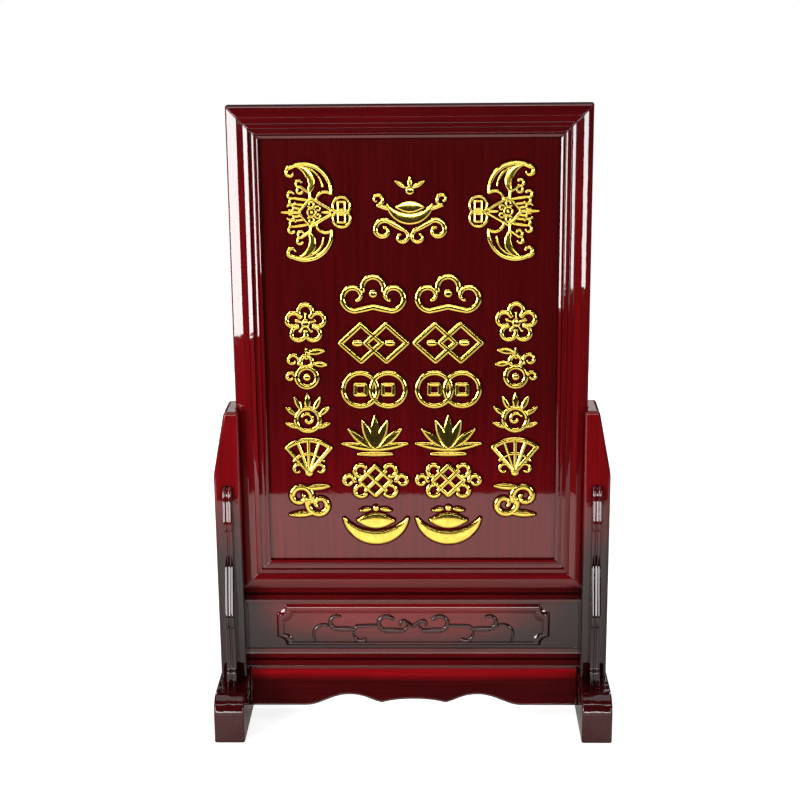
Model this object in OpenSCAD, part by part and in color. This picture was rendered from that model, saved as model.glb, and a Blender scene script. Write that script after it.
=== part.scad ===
// Standing spirit tablet, built as a small table screen: a mitred, moulded frame holds a panel
// with gilt relief, and its two edges drop into grooves between the posts of a footed base.
// The front faces -Y, +Z is up, and the origin is on the floor under the middle of the base.

/* [Tablet frame] */
// Overall width of the framed tablet
tablet_w = 267.2; // [250:0.1:320]
// Overall height of the framed tablet
tablet_h = 373.2; // [360:0.1:440]
// Width of the moulded frame members, seen from the front
moulding_w = 23.3; // [22:0.1:28]
// Thickness of the frame behind its front outer edge
frame_d = 14; // [13:0.5:18]
// How far the outer swell of the moulding stands in front of the frame's edge
swell_rise = 3.8; // [2:0.1:5]
// Thickness of the front panel
panel_t = 6; // [4:0.5:7]
// Depth of the panel's face behind the frame's front outer edge
panel_set = 2.8; // [2.4:0.1:4]
// Thickness of the back board
back_t = 3.5; // [2:0.5:4]
// Number of screws along each side of the back board
side_screws = 3; // [2:1:5]

/* [Stand] */
// Thickness of a post, across the tablet
post_t = 20.3; // [18:0.1:26]
// Depth of a post, front to back
post_d = 36; // [32:1:50]
// Height of a post above its foot
post_h = 216.5; // [190:0.5:260]
// Height of the taper at the top of a post
taper_h = 50; // [30:1:80]
// How much the taper takes off the outer face of a post
taper_in = 9.5; // [4:0.5:11]
// How far the tablet's edge reaches into the groove of a post
groove_bite = 2.75; // [2:0.05:4]
// Width of a foot
foot_w = 23.3; // [21:0.1:30]
// Length of a foot, front to back
foot_l = 116; // [100:1:150]
// Height of a foot
foot_h = 36.5; // [30:0.5:45]
// Radius of the rounded ends of a foot
nose_r = 14; // [6:0.5:20]
// Depth of the cross rails, front to back
rail_d = 16; // [14:0.5:18]
// Height of the upper cross rail
upper_rail_h = 11.8; // [10:0.1:16]
// Height of the lower cross rail
lower_rail_h = 15.8; // [14:0.1:20]
// Height of the opening between the two cross rails
opening_h = 40; // [38:0.5:60]
// Thickness of the carved panel in that opening
carved_t = 7; // [5:0.5:8]
// Slanted height of the aprons
apron_h = 29; // [24:0.5:34]
// Thickness of the aprons
apron_t = 6; // [4:0.5:7]
// Slope of the aprons from upright, in degrees
apron_tilt = 17; // [10:1:22]
// Thickness of the standing spandrels
spandrel_t = 7.5; // [6:0.5:10]
// Height of the standing spandrels
spandrel_h = 158.5; // [130:0.5:175]
// How far the spandrels stand out from a post, at the foot
spandrel_p = 15.5; // [13:0.5:20]

/* [Gilt relief] */
// Thickness of the gilt pieces
gilt_t = 2; // [1:0.1:3]
// Size of the motifs, as a share of the size that fills the panel
relief_share = 1; // [0.8:0.01:1]
// Place of the inner columns from the middle, as a share of the panel's width
inner_x_share = 0.127; // [0.125:0.001:0.135]
// Depth of the first inner row, as a share of the panel's height
inner_top_share = 0.3585; // [0.345:0.0005:0.37]
// Distance between the rows of the inner columns, as a share of the panel's height
inner_row_share = 0.1111; // [0.107:0.0001:0.113]
// Place of the outer columns from the middle, as a share of the panel's width
outer_x_share = 0.358; // [0.345:0.001:0.37]
// Depth of the first outer row, as a share of the panel's height
outer_top_share = 0.423; // [0.41:0.001:0.435]
// Distance between the rows of the outer columns, as a share of the panel's height
outer_row_share = 0.1072; // [0.103:0.0001:0.112]
// Place of the bats from the middle, as a share of the panel's width
bat_x_share = 0.322; // [0.31:0.001:0.335]
// Depth of the bats and the crown emblem, as a share of the panel's height
bat_top_share = 0.166; // [0.155:0.001:0.175]

/* [Carving on the stand] */
// Height of the carved lines
carve_t = 1.3; // [0.6:0.1:2]
// Width of the carved border line
border_w = 5; // [3:0.5:6]
// Distance of the carved border from the posts
border_end = 23.3; // [15:0.1:40]
// Distance of the carved border from the cross rails
border_side = 2.5; // [1.5:0.1:5]
// Size of the notched corners of the border
border_notch = 7; // [4:0.5:9]

/* [Fits] */
// Gap around the tablet's edges in the post grooves
groove_gap = 0.4; // [0.3:0.05:1]
// Gap around glued tongues, panels and boards
glue_gap = 0.1; // [0.05:0.05:0.3]
// Radius of the wooden dowels
dowel_r = 1.5; // [1:0.1:2]
// Length of the wooden dowels
dowel_l = 16; // [10:1:18]
// Shank radius of the back board screws
screw_r = 1.2; // [0.8:0.1:1.6]
// Head radius of the back board screws
screw_head_r = 2.5; // [2:0.1:3]
// Length of the screw shanks
screw_l = 10; // [7:0.5:11]

/* [Hidden] */

$fn = 48;
lacquer = "#5a0c12";
dark_lacquer = "#3c070b";
plain_wood = "#b98a57";
brass = "#b08d3e";
gold = "#e0b23a";

// Heights of the stand, from the floor up
rail_lift = 2.7;
lower_rail_z = foot_h + rail_lift;
opening_z = lower_rail_z + lower_rail_h;
upper_rail_z = opening_z + opening_h;
tablet_z = upper_rail_z + upper_rail_h;
tablet_top = tablet_z + tablet_h;
post_top = foot_h + post_h;

// Places across the stand
post_in = tablet_w / 2 - groove_bite;
post_x = post_in + post_t / 2;
post_out = post_in + post_t;
foot_in = post_x - foot_w / 2;

// The panel as it shows inside the frame
sight_w = tablet_w - 2 * moulding_w;
sight_h = tablet_h - 2 * moulding_w;
sight_top = tablet_top - moulding_w;

// Places front to back: the frame's back lies flush with the back of the cross rails
edge_y = rail_d / 2 - frame_d;
panel_y = edge_y + panel_set;
back_y = panel_y + panel_t;

// Steps in the back of the frame, measured from the sight edge
panel_step = 6;
board_step = 12.3;

// Hidden joinery
post_tenon = [12, 22, 20];
rail_tenon_l = 9;
rail_tenon_d = 9;
rail_shoulder = 2.4;
carved_tongue = 3;
tongue_across = 8;
tongue_along = 7;
tongue_t = 4;
tongue_u = 6.5;
post_round = 2.5;
screw_head_t = 1.2;
overcut = 1;

// Points on an arc about c with radius r, from angle a0 to a1
function arc(c, r, a0, a1, n = 12) =
  [for (i = [0:n]) c + r * [cos(a0 + (a1 - a0) * i / n), sin(a0 + (a1 - a0) * i / n)]];

function mix(a, b, t) = a + (b - a) * t;

// A point on the cubic curve from p to q that leaves towards a and arrives from b
function cubic(p, a, b, q, t) =
  pow(1 - t, 3) * p + 3 * t * pow(1 - t, 2) * a + 3 * t * t * (1 - t) * b + pow(t, 3) * q;

// Points along that curve, with n steps and without its first point
function curve(p, a, b, q, n = 10) = [for (i = [1:n]) cubic(p, a, b, q, i / n)];

function mirrored(points) = [for (i = [len(points) - 1:-1:0]) [-points[i][0], points[i][1]]];

// An outline in X and Z, carried along Y from y0 to y1
module along_y(y0, y1) {
  translate([0, y1, 0]) rotate([90, 0, 0]) linear_extrude(y1 - y0) children();
}

// An outline in Y and Z, carried along X from x0 to x1
module along_x(x0, x1) {
  translate([x0, 0, 0]) rotate([90, 0, 90]) linear_extrude(x1 - x0) children();
}

module box(low, high) {
  translate(low) cube(high - low);
}

/* The moulded frame */

// Section of a frame member: the first number runs from the outer edge to the sight edge,
// the second forward from the plane of the outer edge. From the outside in it has a rounded
// arris, a broad swell, a brow that falls inward, a bead, a rising hollow and a lip bead.
arris_r = 1.1;
swell_lean = 38;
crest_lean = 18;
brow_w = 4.2;
brow_fall = 1.1;
bead_r = 2.1;
bead_v = 0.3;
quirk_v = -1.2;
quirk_w = 0.5;
hollow_w = 3.4;
lip_w = 2.9;
lip_bead_r = 1;
lip_v = -0.7;
sight_v = -1.5;
lip_u = moulding_w - lip_w;
hollow_u = lip_u - hollow_w;
bead_u = hollow_u - quirk_w - bead_r;
brow_u = bead_u - bead_r - brow_w;
swell_u = arris_r * (1 - sin(swell_lean));
swell_v = arris_r * (cos(swell_lean) - 1);
swell_r = (brow_u - swell_u) / (sin(swell_lean) - sin(crest_lean));
swell_scale = (swell_rise - swell_v) / (swell_r * (cos(crest_lean) - cos(swell_lean)));

function swell() = [for (p = arc([0, 0], swell_r, 90 + swell_lean, 90 + crest_lean, 8))
  [brow_u + p[0] + swell_r * sin(crest_lean),
   swell_rise + swell_scale * (p[1] - swell_r * cos(crest_lean))]];

function moulding_section() = concat(
  [[0, -frame_d]],
  arc([arris_r, -arris_r], arris_r, 180, 90 + swell_lean + 1, 4),
  swell(),
  curve([brow_u, swell_rise], [brow_u + brow_w / 4, swell_rise + brow_fall / 4],
        [brow_u + brow_w / 2, swell_rise], [brow_u + brow_w, swell_rise - brow_fall], 6),
  arc([bead_u, bead_v], bead_r, 175, 5, 12),
  [[bead_u + bead_r, quirk_v]],
  curve([hollow_u, quirk_v], [hollow_u + hollow_w / 3, quirk_v],
        [lip_u - hollow_w / 3, lip_v], [lip_u, 0], 6),
  [[lip_u, lip_v]],
  arc([lip_u + 2 * lip_bead_r - lip_w / 6, lip_v], lip_bead_r, 180, 0, 8),
  [[moulding_w, sight_v], [moulding_w, -panel_set],
   [moulding_w - panel_step, -panel_set], [moulding_w - panel_step, -panel_set - panel_t],
   [moulding_w - board_step, -panel_set - panel_t], [moulding_w - board_step, -frame_d]]
);

// Front outline of an upright member at the left, with its two mitred ends
function stile_outline() = [
  [-tablet_w / 2, tablet_z], [-tablet_w / 2, tablet_top],
  [-tablet_w / 2 + moulding_w, tablet_top - moulding_w],
  [-tablet_w / 2 + moulding_w, tablet_z + moulding_w]];

// Front outline of the bottom member, with its two mitred ends
function rail_outline() = [
  [-tablet_w / 2, tablet_z], [tablet_w / 2, tablet_z],
  [tablet_w / 2 - moulding_w, tablet_z + moulding_w],
  [-tablet_w / 2 + moulding_w, tablet_z + moulding_w]];

mitre_y0 = edge_y - swell_rise - overcut - brow_fall;
mitre_y1 = edge_y + frame_d + overcut;

// A loose tongue across each mitre, or its mortise when grown by a gap
module tongues(gap) {
  for (sx = [-1, 1], top = [0, 1]) {
    z = top ? tablet_top - tongue_u : tablet_z + tongue_u;
    lean = (top ? -45 : 45) * sx;
    translate([sx * (tablet_w / 2 - tongue_u), edge_y + frame_d / 2 - panel_set, z])
      rotate([0, lean, 0])
        cube([tongue_across + 2 * gap, tongue_t + 2 * gap, tongue_along + 2 * gap], center = true);
  }
}

// Places of the back board screws, in X and Z
screw_in = moulding_w - (panel_step + board_step) / 2;
screw_places = concat(
  [for (sx = [-1, 1], i = [0:side_screws - 1])
    [sx * (tablet_w / 2 - screw_in),
     tablet_z + tablet_h * (i + 1 / 2) / side_screws]],
  [for (sx = [-1, 1], z = [tablet_z + screw_in, tablet_top - screw_in]) [sx * tablet_w / 6, z]]);

module screw_holes(r, y0, y1) {
  for (p = screw_places)
    translate([p[0], y1, p[1]]) rotate([90, 0, 0]) cylinder(r = r, h = y1 - y0);
}

module frame_joints() {
  tongues(glue_gap);
  screw_holes(screw_r + glue_gap, back_y + back_t - screw_l - glue_gap, back_y + overcut);
}

module stile() {
  difference() {
    intersection() {
      translate([-tablet_w / 2, edge_y, tablet_top]) rotate([180, 0, 0])
        linear_extrude(tablet_h) polygon(moulding_section());
      along_y(mitre_y0, mitre_y1) polygon(stile_outline());
    }
    frame_joints();
  }
}

module frame_rail() {
  difference() {
    intersection() {
      translate([-tablet_w / 2, edge_y, tablet_z]) rotate([0, 0, 180]) rotate([0, -90, 0])
        linear_extrude(tablet_w) polygon(moulding_section());
      along_y(mitre_y0, mitre_y1) polygon(rail_outline());
    }
    frame_joints();
  }
}

module frame_left_stile() {
  color(lacquer) stile();
}

module frame_right_stile() {
  color(lacquer) mirror([1, 0, 0]) stile();
}

module frame_bottom_rail() {
  color(lacquer) frame_rail();
}

module frame_top_rail() {
  color(lacquer) translate([0, 0, tablet_z + tablet_top]) mirror([0, 0, 1]) frame_rail();
}

module mitre_tongues() {
  color(plain_wood) tongues(0);
}

// A flat board behind the sight edge, its edges reaching a step's width under the frame
module board(step, y0, y1) {
  reach = moulding_w - step + glue_gap;
  box([-tablet_w / 2 + reach, y0, tablet_z + reach], [tablet_w / 2 - reach, y1, tablet_top - reach]);
}

module tablet_panel() {
  color(dark_lacquer) board(panel_step, panel_y, back_y);
}

module back_board() {
  color(dark_lacquer) difference() {
    board(board_step, back_y, back_y + back_t);
    screw_holes(screw_r + glue_gap, back_y - overcut, back_y + back_t + overcut);
  }
}

module back_board_screws() {
  color(brass) {
    screw_holes(screw_r, back_y + back_t - screw_l, back_y + back_t + screw_head_t / 2);
    screw_holes(screw_head_r, back_y + back_t, back_y + back_t + screw_head_t);
  }
}

/* The stand */

module dowels(gap) {
  r = dowel_r + gap;
  l = dowel_l + 2 * gap;
  for (sx = [-1, 1], sy = [-1, 1]) {
    translate([sx * post_x, sy * post_d / 2, spandrel_dowel_z]) rotate([90, 0, 0])
      cylinder(r = r, h = l, center = true);
    translate([sx * post_x, sy * (post_d / 2 + spandrel_p / 2), foot_h])
      cylinder(r = r, h = l, center = true);
  }
}

module spandrel_dowels() {
  color(plain_wood) dowels(0);
}

function foot_outline() =
  let (front = arc([foot_l / 2 - nose_r, foot_h - nose_r], nose_r, 0, 90))
    concat([[-foot_l / 2, 0], [foot_l / 2, 0]], front, mirrored(front));

module foot() {
  difference() {
    along_x(foot_in, foot_in + foot_w) polygon(foot_outline());
    translate([post_x, 0, foot_h - post_tenon[2] / 2])
      cube(post_tenon + 2 * glue_gap * [1, 1, 1], center = true);
    dowels(glue_gap);
  }
}

module left_foot() {
  color(lacquer) mirror([1, 0, 0]) foot();
}

module right_foot() {
  color(lacquer) foot();
}

function post_outline() =
  let (lean = atan2(taper_in, taper_h), top_out = post_out - taper_in)
    concat(
      [[post_in, foot_h], [post_out, foot_h], [post_out, post_top - taper_h]],
      arc([top_out - post_round, post_top - post_round], post_round, lean, 90, 6),
      arc([post_in + post_round, post_top - post_round], post_round, 90, 180, 6));

// Space that the swelling of the frame's edge needs in front of its outer edge plane
edge_swell = swell_rise * min(1, 1.5 * groove_bite / brow_u);

module post() {
  difference() {
    union() {
      along_y(-post_d / 2, post_d / 2) polygon(post_outline());
      translate([post_x, 0, foot_h - post_tenon[2] / 2]) cube(post_tenon, center = true);
    }
    box([post_in - overcut, edge_y - edge_swell - groove_gap, tablet_z],
        [post_in + groove_bite + groove_gap, edge_y + frame_d + groove_gap, post_top + overcut]);
    rail_tenon(upper_rail_z, upper_rail_h, glue_gap);
    rail_tenon(lower_rail_z, lower_rail_h, glue_gap);
    dowels(glue_gap);
  }
}

module left_post() {
  color(lacquer) mirror([1, 0, 0]) post();
}

module right_post() {
  color(lacquer) post();
}

// Edge of a standing spandrel: how far it stands out and how high it is, as shares of its
// reach and height. A shoulder, a long hanging lobe and a toe meet at two cusps.
function spandrel_edge(inset) =
  let (edge = concat(
    [[0, 1]],
    curve([0, 1], [0.3, 1], [0.47, 0.93], [0.47, 0.82], 6),
    curve([0.47, 0.82], [0.47, 0.785], [0.42, 0.775], [0.31, 0.775], 4),
    curve([0.31, 0.775], [0.31, 0.6], [0.97, 0.53], [0.97, 0.345], 12),
    curve([0.97, 0.345], [0.97, 0.305], [0.9, 0.295], [0.8, 0.295], 4),
    curve([0.8, 0.295], [0.72, 0.2], [0.74, 0.075], [0.84, 0.075], 8),
    curve([0.84, 0.075], [0.95, 0.075], [1, 0.06], [1, 0], 4)))
    [for (p = edge) [max(0, p[0] * spandrel_p - inset), foot_h + p[1] * spandrel_h]];

// Height of the dowel that pins a spandrel to its post, at the hanging lobe
spandrel_dowel_z = foot_h + 0.36 * spandrel_h;
bead_gap = 1.1;
bead_groove = 1;

module spandrel_slab(x0, x1, inset) {
  along_x(x0, x1) polygon(concat(
    [for (p = spandrel_edge(inset)) [post_d / 2 + p[0], p[1]]], [[post_d / 2, foot_h]]));
}

// The edge carries two beads with a groove between them
module spandrel() {
  difference() {
    union() {
      spandrel_slab(post_x - spandrel_t / 2, post_x + spandrel_t / 2, bead_groove);
      spandrel_slab(post_x - spandrel_t / 2, post_x - bead_gap / 2, 0);
      spandrel_slab(post_x + bead_gap / 2, post_x + spandrel_t / 2, 0);
    }
    dowels(glue_gap);
  }
}

module front_left_spandrel() {
  color(lacquer) rotate([0, 0, 180]) spandrel();
}

module front_right_spandrel() {
  color(lacquer) mirror([0, 1, 0]) spandrel();
}

module rear_left_spandrel() {
  color(lacquer) mirror([1, 0, 0]) spandrel();
}

module rear_right_spandrel() {
  color(lacquer) spandrel();
}

// Section of a cross rail above its underside: a square fillet with a hollow over it,
// and a slope at the top that falls away by the given amount
fillet_h = 2.9;
hollow_d = 2.4;
hollow_step = 0.7;
function rail_half(h, slope) =
  let (out = rail_d / 2, hollow_h = h - slope - fillet_h)
    concat(
      [[out, 0], [out, fillet_h]],
      curve([out - hollow_step, fillet_h], [out - hollow_d, fillet_h + hollow_h / 5],
            [out - hollow_d, fillet_h + hollow_h * 4 / 5], [out - hollow_step, fillet_h + hollow_h], 8),
      slope > 0 ? [[out - slope, h]] : []);

module rail_tenon(z, h, gap) {
  for (sx = [-1, 1])
    translate([sx * (post_in + rail_tenon_l / 2), 0, z + h / 2])
      cube([rail_tenon_l, rail_tenon_d, h - 2 * rail_shoulder] + 2 * gap * [1, 1, 1], center = true);
}

// A cross rail with a tenon at each end; its groove takes the carved panel's tongue
module cross_rail(z, h, slope, groove_z) {
  half = rail_half(h, slope);
  difference() {
    union() {
      translate([0, 0, z]) along_x(-post_in, post_in) polygon(concat(half, mirrored(half)));
      rail_tenon(z, h, 0);
    }
    box([-post_in - overcut, -carved_t / 2 - glue_gap, groove_z],
        [post_in + overcut, carved_t / 2 + glue_gap, groove_z + carved_tongue + glue_gap + overcut]);
  }
}

lower_slope = 3.2;

module lower_cross_rail() {
  groove_z = opening_z - carved_tongue - glue_gap;
  color(lacquer) cross_rail(lower_rail_z, lower_rail_h, lower_slope, groove_z);
}

module upper_cross_rail() {
  groove_z = upper_rail_z - overcut;
  color(lacquer) cross_rail(upper_rail_z, upper_rail_h, 0, groove_z);
}

// Lower edge of an apron as heights above its lowest line: flat ends, a wide arch on each
// side, two cusps and a low arch in the middle
apron_flat = 0.657 * foot_in;
arch_peak = 0.394 * foot_in;
apron_cusp = 0.193 * foot_in;
arch_rise = 8.4;
cusp_rise = 2;
middle_rise = 4.8;
function half_scallop() = concat(
  [[apron_flat, 0]],
  curve([apron_flat, 0], [mix(apron_flat, arch_peak, 1 / 3), 0],
        [mix(apron_flat, arch_peak, 3 / 5), arch_rise], [arch_peak, arch_rise], 8),
  curve([arch_peak, arch_rise], [mix(arch_peak, apron_cusp, 1 / 2), arch_rise],
        [mix(arch_peak, apron_cusp, 2 / 3), mix(cusp_rise, arch_rise, 1 / 4)], [apron_cusp, cusp_rise], 8),
  curve([apron_cusp, cusp_rise], [apron_cusp * 2 / 3, mix(cusp_rise, middle_rise, 4 / 5)],
        [apron_cusp / 3, middle_rise], [0, middle_rise], 6));

module apron() {
  half = half_scallop();
  apron_y = rail_d / 2 - hollow_step;
  difference() {
    translate([0, -apron_y, lower_rail_z]) rotate([-apron_tilt, 0, 0])
      translate([0, 0, -apron_h]) along_y(0, apron_t)
        polygon(concat([[foot_in, 0]], half, mirrored(half),
                       [[-foot_in, 0], [-foot_in, apron_h + apron_t], [foot_in, apron_h + apron_t]]));
    box([-post_in, -post_d, lower_rail_z], [post_in, post_d, lower_rail_z + 3 * apron_t]);
  }
}

module front_apron() {
  color(lacquer) apron();
}

module rear_apron() {
  color(lacquer) mirror([0, 1, 0]) apron();
}

/* Strokes of the relief */

// A curl is [centre, [first radius, last radius], [first angle, last angle], widths] and a bar
// is [first point, last point, widths]. The three widths steer a curve from one end to the other.
function swelling(w, t) = w[0] * (1 - t) * (1 - t) + 2 * w[1] * t * (1 - t) + w[2] * t * t;
function is_curl(s) = len(s) == 4;
function stroke_point(s, t) = !is_curl(s) ? mix(s[0], s[1], t) :
  s[0] + mix(s[1][0], s[1][1], t) * [cos(mix(s[2][0], s[2][1], t)), sin(mix(s[2][0], s[2][1], t))];
function stroke_width(s, t) = swelling(s[len(s) - 1], t);
function stroke_steps(s) = is_curl(s) ? ceil(abs(s[2][1] - s[2][0]) / 18) + 2 : 6;

near = 0.01;
function heading(s, t) =
  let (d = stroke_point(s, min(1, t + near)) - stroke_point(s, max(0, t - near))) atan2(d[1], d[0]);
function rim(s, t, turn) =
  stroke_point(s, t) + stroke_width(s, t) / 2 * [cos(heading(s, t) + turn), sin(heading(s, t) + turn)];
function stroke_outline(s) =
  let (n = stroke_steps(s), caps = 4)
    concat(
      [for (i = [0:n]) rim(s, i / n, -90)],
      [for (i = [1:caps - 1]) rim(s, 1, -90 + 180 * i / caps)],
      [for (i = [n:-1:0]) rim(s, i / n, 90)],
      [for (i = [1:caps - 1]) rim(s, 0, 90 + 180 * i / caps)]);

module strokes(list) {
  for (s = list) polygon(stroke_outline(s));
}

// Half of a motif and its mirror image, or the two halves of a bat above and below its body
module pair(half, axis = [1, 0]) {
  strokes(half);
  mirror(axis) strokes(half);
}

module spot(c, d) {
  translate(c) circle(d = d);
}

module ring(c, r, w) {
  translate(c) difference() {
    circle(r + w / 2);
    circle(r - w / 2);
  }
}

/* Motifs, drawn about their middle for a panel that shows this width and height */

drawn_panel = [220.6, 326.6];
relief_scale = relief_share * min(sight_w / drawn_panel[0], sight_h / drawn_panel[1]);

module cloud() {
  pair([
    [[-14, -0.8], [11, 3.2], [-88, -420], [3.6, 4.8, 2]],
    [[0, 6.2], [8, 8], [85, 196], [3.6, 4.4, 3.4]],
    [[-14, -11.8], [0, -8.6], [3.6, 4.4, 4]]]);
  spot([0, 1.6], 6);
}

module lozenges() {
  pair([
    [[-25, 0], [-9.5, 14.2], [3.6, 4, 3.6]],
    [[-9.5, 14.2], [6, 0], [3.6, 4, 3.6]],
    [[6, 0], [-9.5, -14.2], [3.6, 4, 3.6]],
    [[-9.5, -14.2], [-25, 0], [3.6, 4, 3.6]],
    [[-14, 0], [-10.5, 0], [4.4, 5.4, 4.4]]]);
}

module coins() {
  pair([
    [[-14.4, -3.9], [-14.4, 3.9], [2.8, 2.8, 2.8]],
    [[-14.4, 3.9], [-6.6, 3.9], [2.8, 2.8, 2.8]],
    [[-6.6, 3.9], [-6.6, -3.9], [2.8, 2.8, 2.8]],
    [[-6.6, -3.9], [-14.4, -3.9], [2.8, 2.8, 2.8]]]);
  for (x = [-10.5, 10.5]) ring([x, 0], 13, 3.4);
}

module lotus() {
  pair([
    [[-1.2, -9], [-9.4, 11.6], [3.4, 11, 1.4]],
    [[-4, -9.4], [-20, 5], [3.4, 9.6, 1.4]],
    [[-2, -10.4], [-25, -6.4], [4, 7.2, 1.2]]]);
  strokes([
    [[0, -9.4], [0, 15.4], [6, 12, 1.6]],
    [[-13, -14.8], [13, -14.8], [1.6, 4.8, 1.6]]]);
}

module knot() {
  pair([
    [[-12, 0], [0, 12], [3, 3.2, 3]],
    [[-7.6, -7.6], [7.6, 7.6], [3, 3.2, 3]],
    [[-12, 0], [0, -12], [3, 3.2, 3]],
    [[-11.2, 8], [4.6, 4.6], [40, 268], [3, 3, 3]],
    [[-11.2, -8], [4.6, 4.6], [-40, -268], [3, 3, 3]],
    [[-20.6, 0], [4.6, 2.6], [0, 330], [3.2, 3.4, 2]]]);
}

module ingot() {
  strokes([
    [[0, 17], [27, 27], [205, 335], [1.6, 20, 1.6]],
    [[-13, 4], [13, 4], [3, 22, 3]]]);
  pair([[[-4.6, 13.4], [-11.6, 12.4], [1.8, 5, 1.2]]]);
  spot([0, 14], 4.4);
}

module blossom() {
  for (i = [0:4]) rotate(72 * i)
    strokes([
      [[0, 9.4], [5.2, 5.2], [-48, 228], [3, 3.4, 3]],
      [[0, 3.6], [0, 7.2], [1.6, 1.8, 2.4]]]);
  spot([0, 0], 6.4);
}

module gourd() {
  ring([0, -6.6], 7.6, 3.6);
  ring([0, 5.6], 4.4, 3);
  strokes([
    [[0, 8.4], [0, 15], [2.6, 3, 2]],
    [[1, 12.6], [13.6, 14], [1.8, 8, 1.4]],
    [[5.4, 4], [15, 3], [1.6, 7, 1.4]],
    [[-10.4, 6.6], [5, 2], [-30, 330], [2.4, 3, 1.4]],
    [[-12.4, -6.4], [3.6, 1.8], [20, 320], [2.2, 2.6, 1.4]]]);
  spot([0, -6.6], 5.4);
}

module pearl() {
  ring([0, -5], 9, 3.2);
  strokes([
    [[0, -5], [5.2, 1.4], [150, -170], [1.8, 2.8, 1.6]],
    [[0, 4.6], [0, 15.4], [2.4, 7.4, 1.2]]]);
  pair([
    [[-5, 3.6], [-9.6, 12.6], [2.4, 6.4, 1.2]],
    [[-9, -1], [-16.2, 4.6], [2.4, 6, 1.2]],
    [[-8.4, -11], [-16.4, -8], [2.4, 5.2, 1.2]]]);
}

module fan() {
  pair([
    [[0, -12.4], [26, 26], [88, 130], [3.4, 3.6, 3.2]],
    [[0, -12.4], [-16.4, 7.4], [2.8, 3, 3.2]],
    [[0, -12.4], [-8, 12], [1.8, 2.2, 2.4]],
    [[-8.4, -9.6], [4.4, 2], [40, 300], [2.2, 2.6, 1.4]]]);
  strokes([
    [[0, -12.4], [0, 13.4], [1.8, 2.2, 2.4]],
    [[0, -12.4], [15, 15], [40, 140], [2, 2.4, 2]]]);
  spot([0, -12.4], 5.6);
}

module scroll() {
  strokes([
    [[-7.4, 3.2], [9.4, 2.6], [-22, 390], [4, 5, 2]],
    [[7.4, -3.2], [9.4, 2.6], [158, 570], [4, 5, 2]],
    [[-1.4, 10.4], [15.4, 11.6], [2.4, 7.4, 1.2]],
    [[1.4, -10.4], [-15.4, -11.6], [2.4, 7.4, 1.2]]]);
}

// A bat in flight with its head to +X, and a pair of square-holed coins before it
module bat() {
  pair([
    [[-7, 15.4], [20, 20], [-4, 120], [2.6, 3.6, 3]],
    [[-16.2, 29.4], [4, 2], [92, 340], [3, 3.2, 1.4]],
    [[-14.4, 22], [12.2, 12.2], [-30, 78], [2.2, 5, 1.8]],
    [[-8, 18], [15, 15], [4, 84], [1.5, 1.8, 1.2]],
    [[8.6, 8.6], [6.5, 6.5], [60, 178], [2.4, 2.2, 2]],
    [[-3, 18], [-2.4, 9.6], [2.6, 2.4, 2.4]],
    [[-2.2, 10.6], [13.6, 1.4], [2, 2.2, 2]],
    [[-2.2, 10.6], [-11, 0], [2, 2.2, 2]],
    [[-3.4, 16.8], [-13, 21.8], [1.6, 6.4, 1.2]],
    [[-4.6, 12.6], [-13.6, 15.8], [1.6, 5.6, 1.2]],
    [[-6, 7.6], [-21, 12.4], [1.8, 6.4, 1.2]],
    [[-9, 3.4], [-20, 5.6], [1.6, 5.4, 1.2]],
    [[-2.2, 6.2], [4.6, 0], [1.5, 1.6, 1.5]],
    [[-2.2, 6.2], [-6.6, 0], [1.5, 1.6, 1.5]],
    [[18, 1.2], [18, 7.6], [1.6, 1.6, 1.6]],
    [[23.2, 1.2], [23.2, 7.6], [1.6, 1.6, 1.6]],
    [[18, 7.6], [23.2, 7.6], [1.6, 1.6, 1.6]],
    [[12.6, 1.5], [15, 1.9], [2, 2, 2]]], axis = [0, 1]);
  for (y = [-4.7, 4.7]) ring([20.6, y], 6.4, 2);
  strokes([
    [[-10, 0], [-23.6, 0], [1.8, 6, 1.2]],
    [[6.6, 0], [12.4, 0], [1.4, 3.4, 1.4]],
    [[18, 0], [23.2, 0], [1.6, 1.6, 1.6]]]);
  spot([-1.4, 0], 3);
}

// The emblem at the head of the panel: an ingot between two curling clouds, under a pearl
module crown() {
  strokes([
    [[0, 12.6], [18, 18], [204, 336], [1.6, 15, 1.6]],
    [[-9.4, 3.6], [9.4, 3.6], [2.6, 15, 2.6]],
    [[0, 18.6], [0, 25.4], [2.4, 6, 1.2]]]);
  pair([
    [[-19.6, -13.6], [7.6, 2], [70, 440], [3.8, 4, 1.8]],
    [[-17, -6.6], [-4.4, -13.4], [3, 4.6, 3]],
    [[-6.4, -18.6], [5.8, 2], [86, -240], [3, 3.2, 1.6]],
    [[-24, 9.4], [4.6, 1.8], [-84, 240], [2.6, 3, 1.6]],
    [[-23.6, 4.8], [-13.6, 1.6], [2.4, 4, 2]],
    [[-3, 18], [-10.4, 22.4], [1.8, 5.4, 1.2]]]);
  spot([0, 15.8], 6.4);
}

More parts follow.
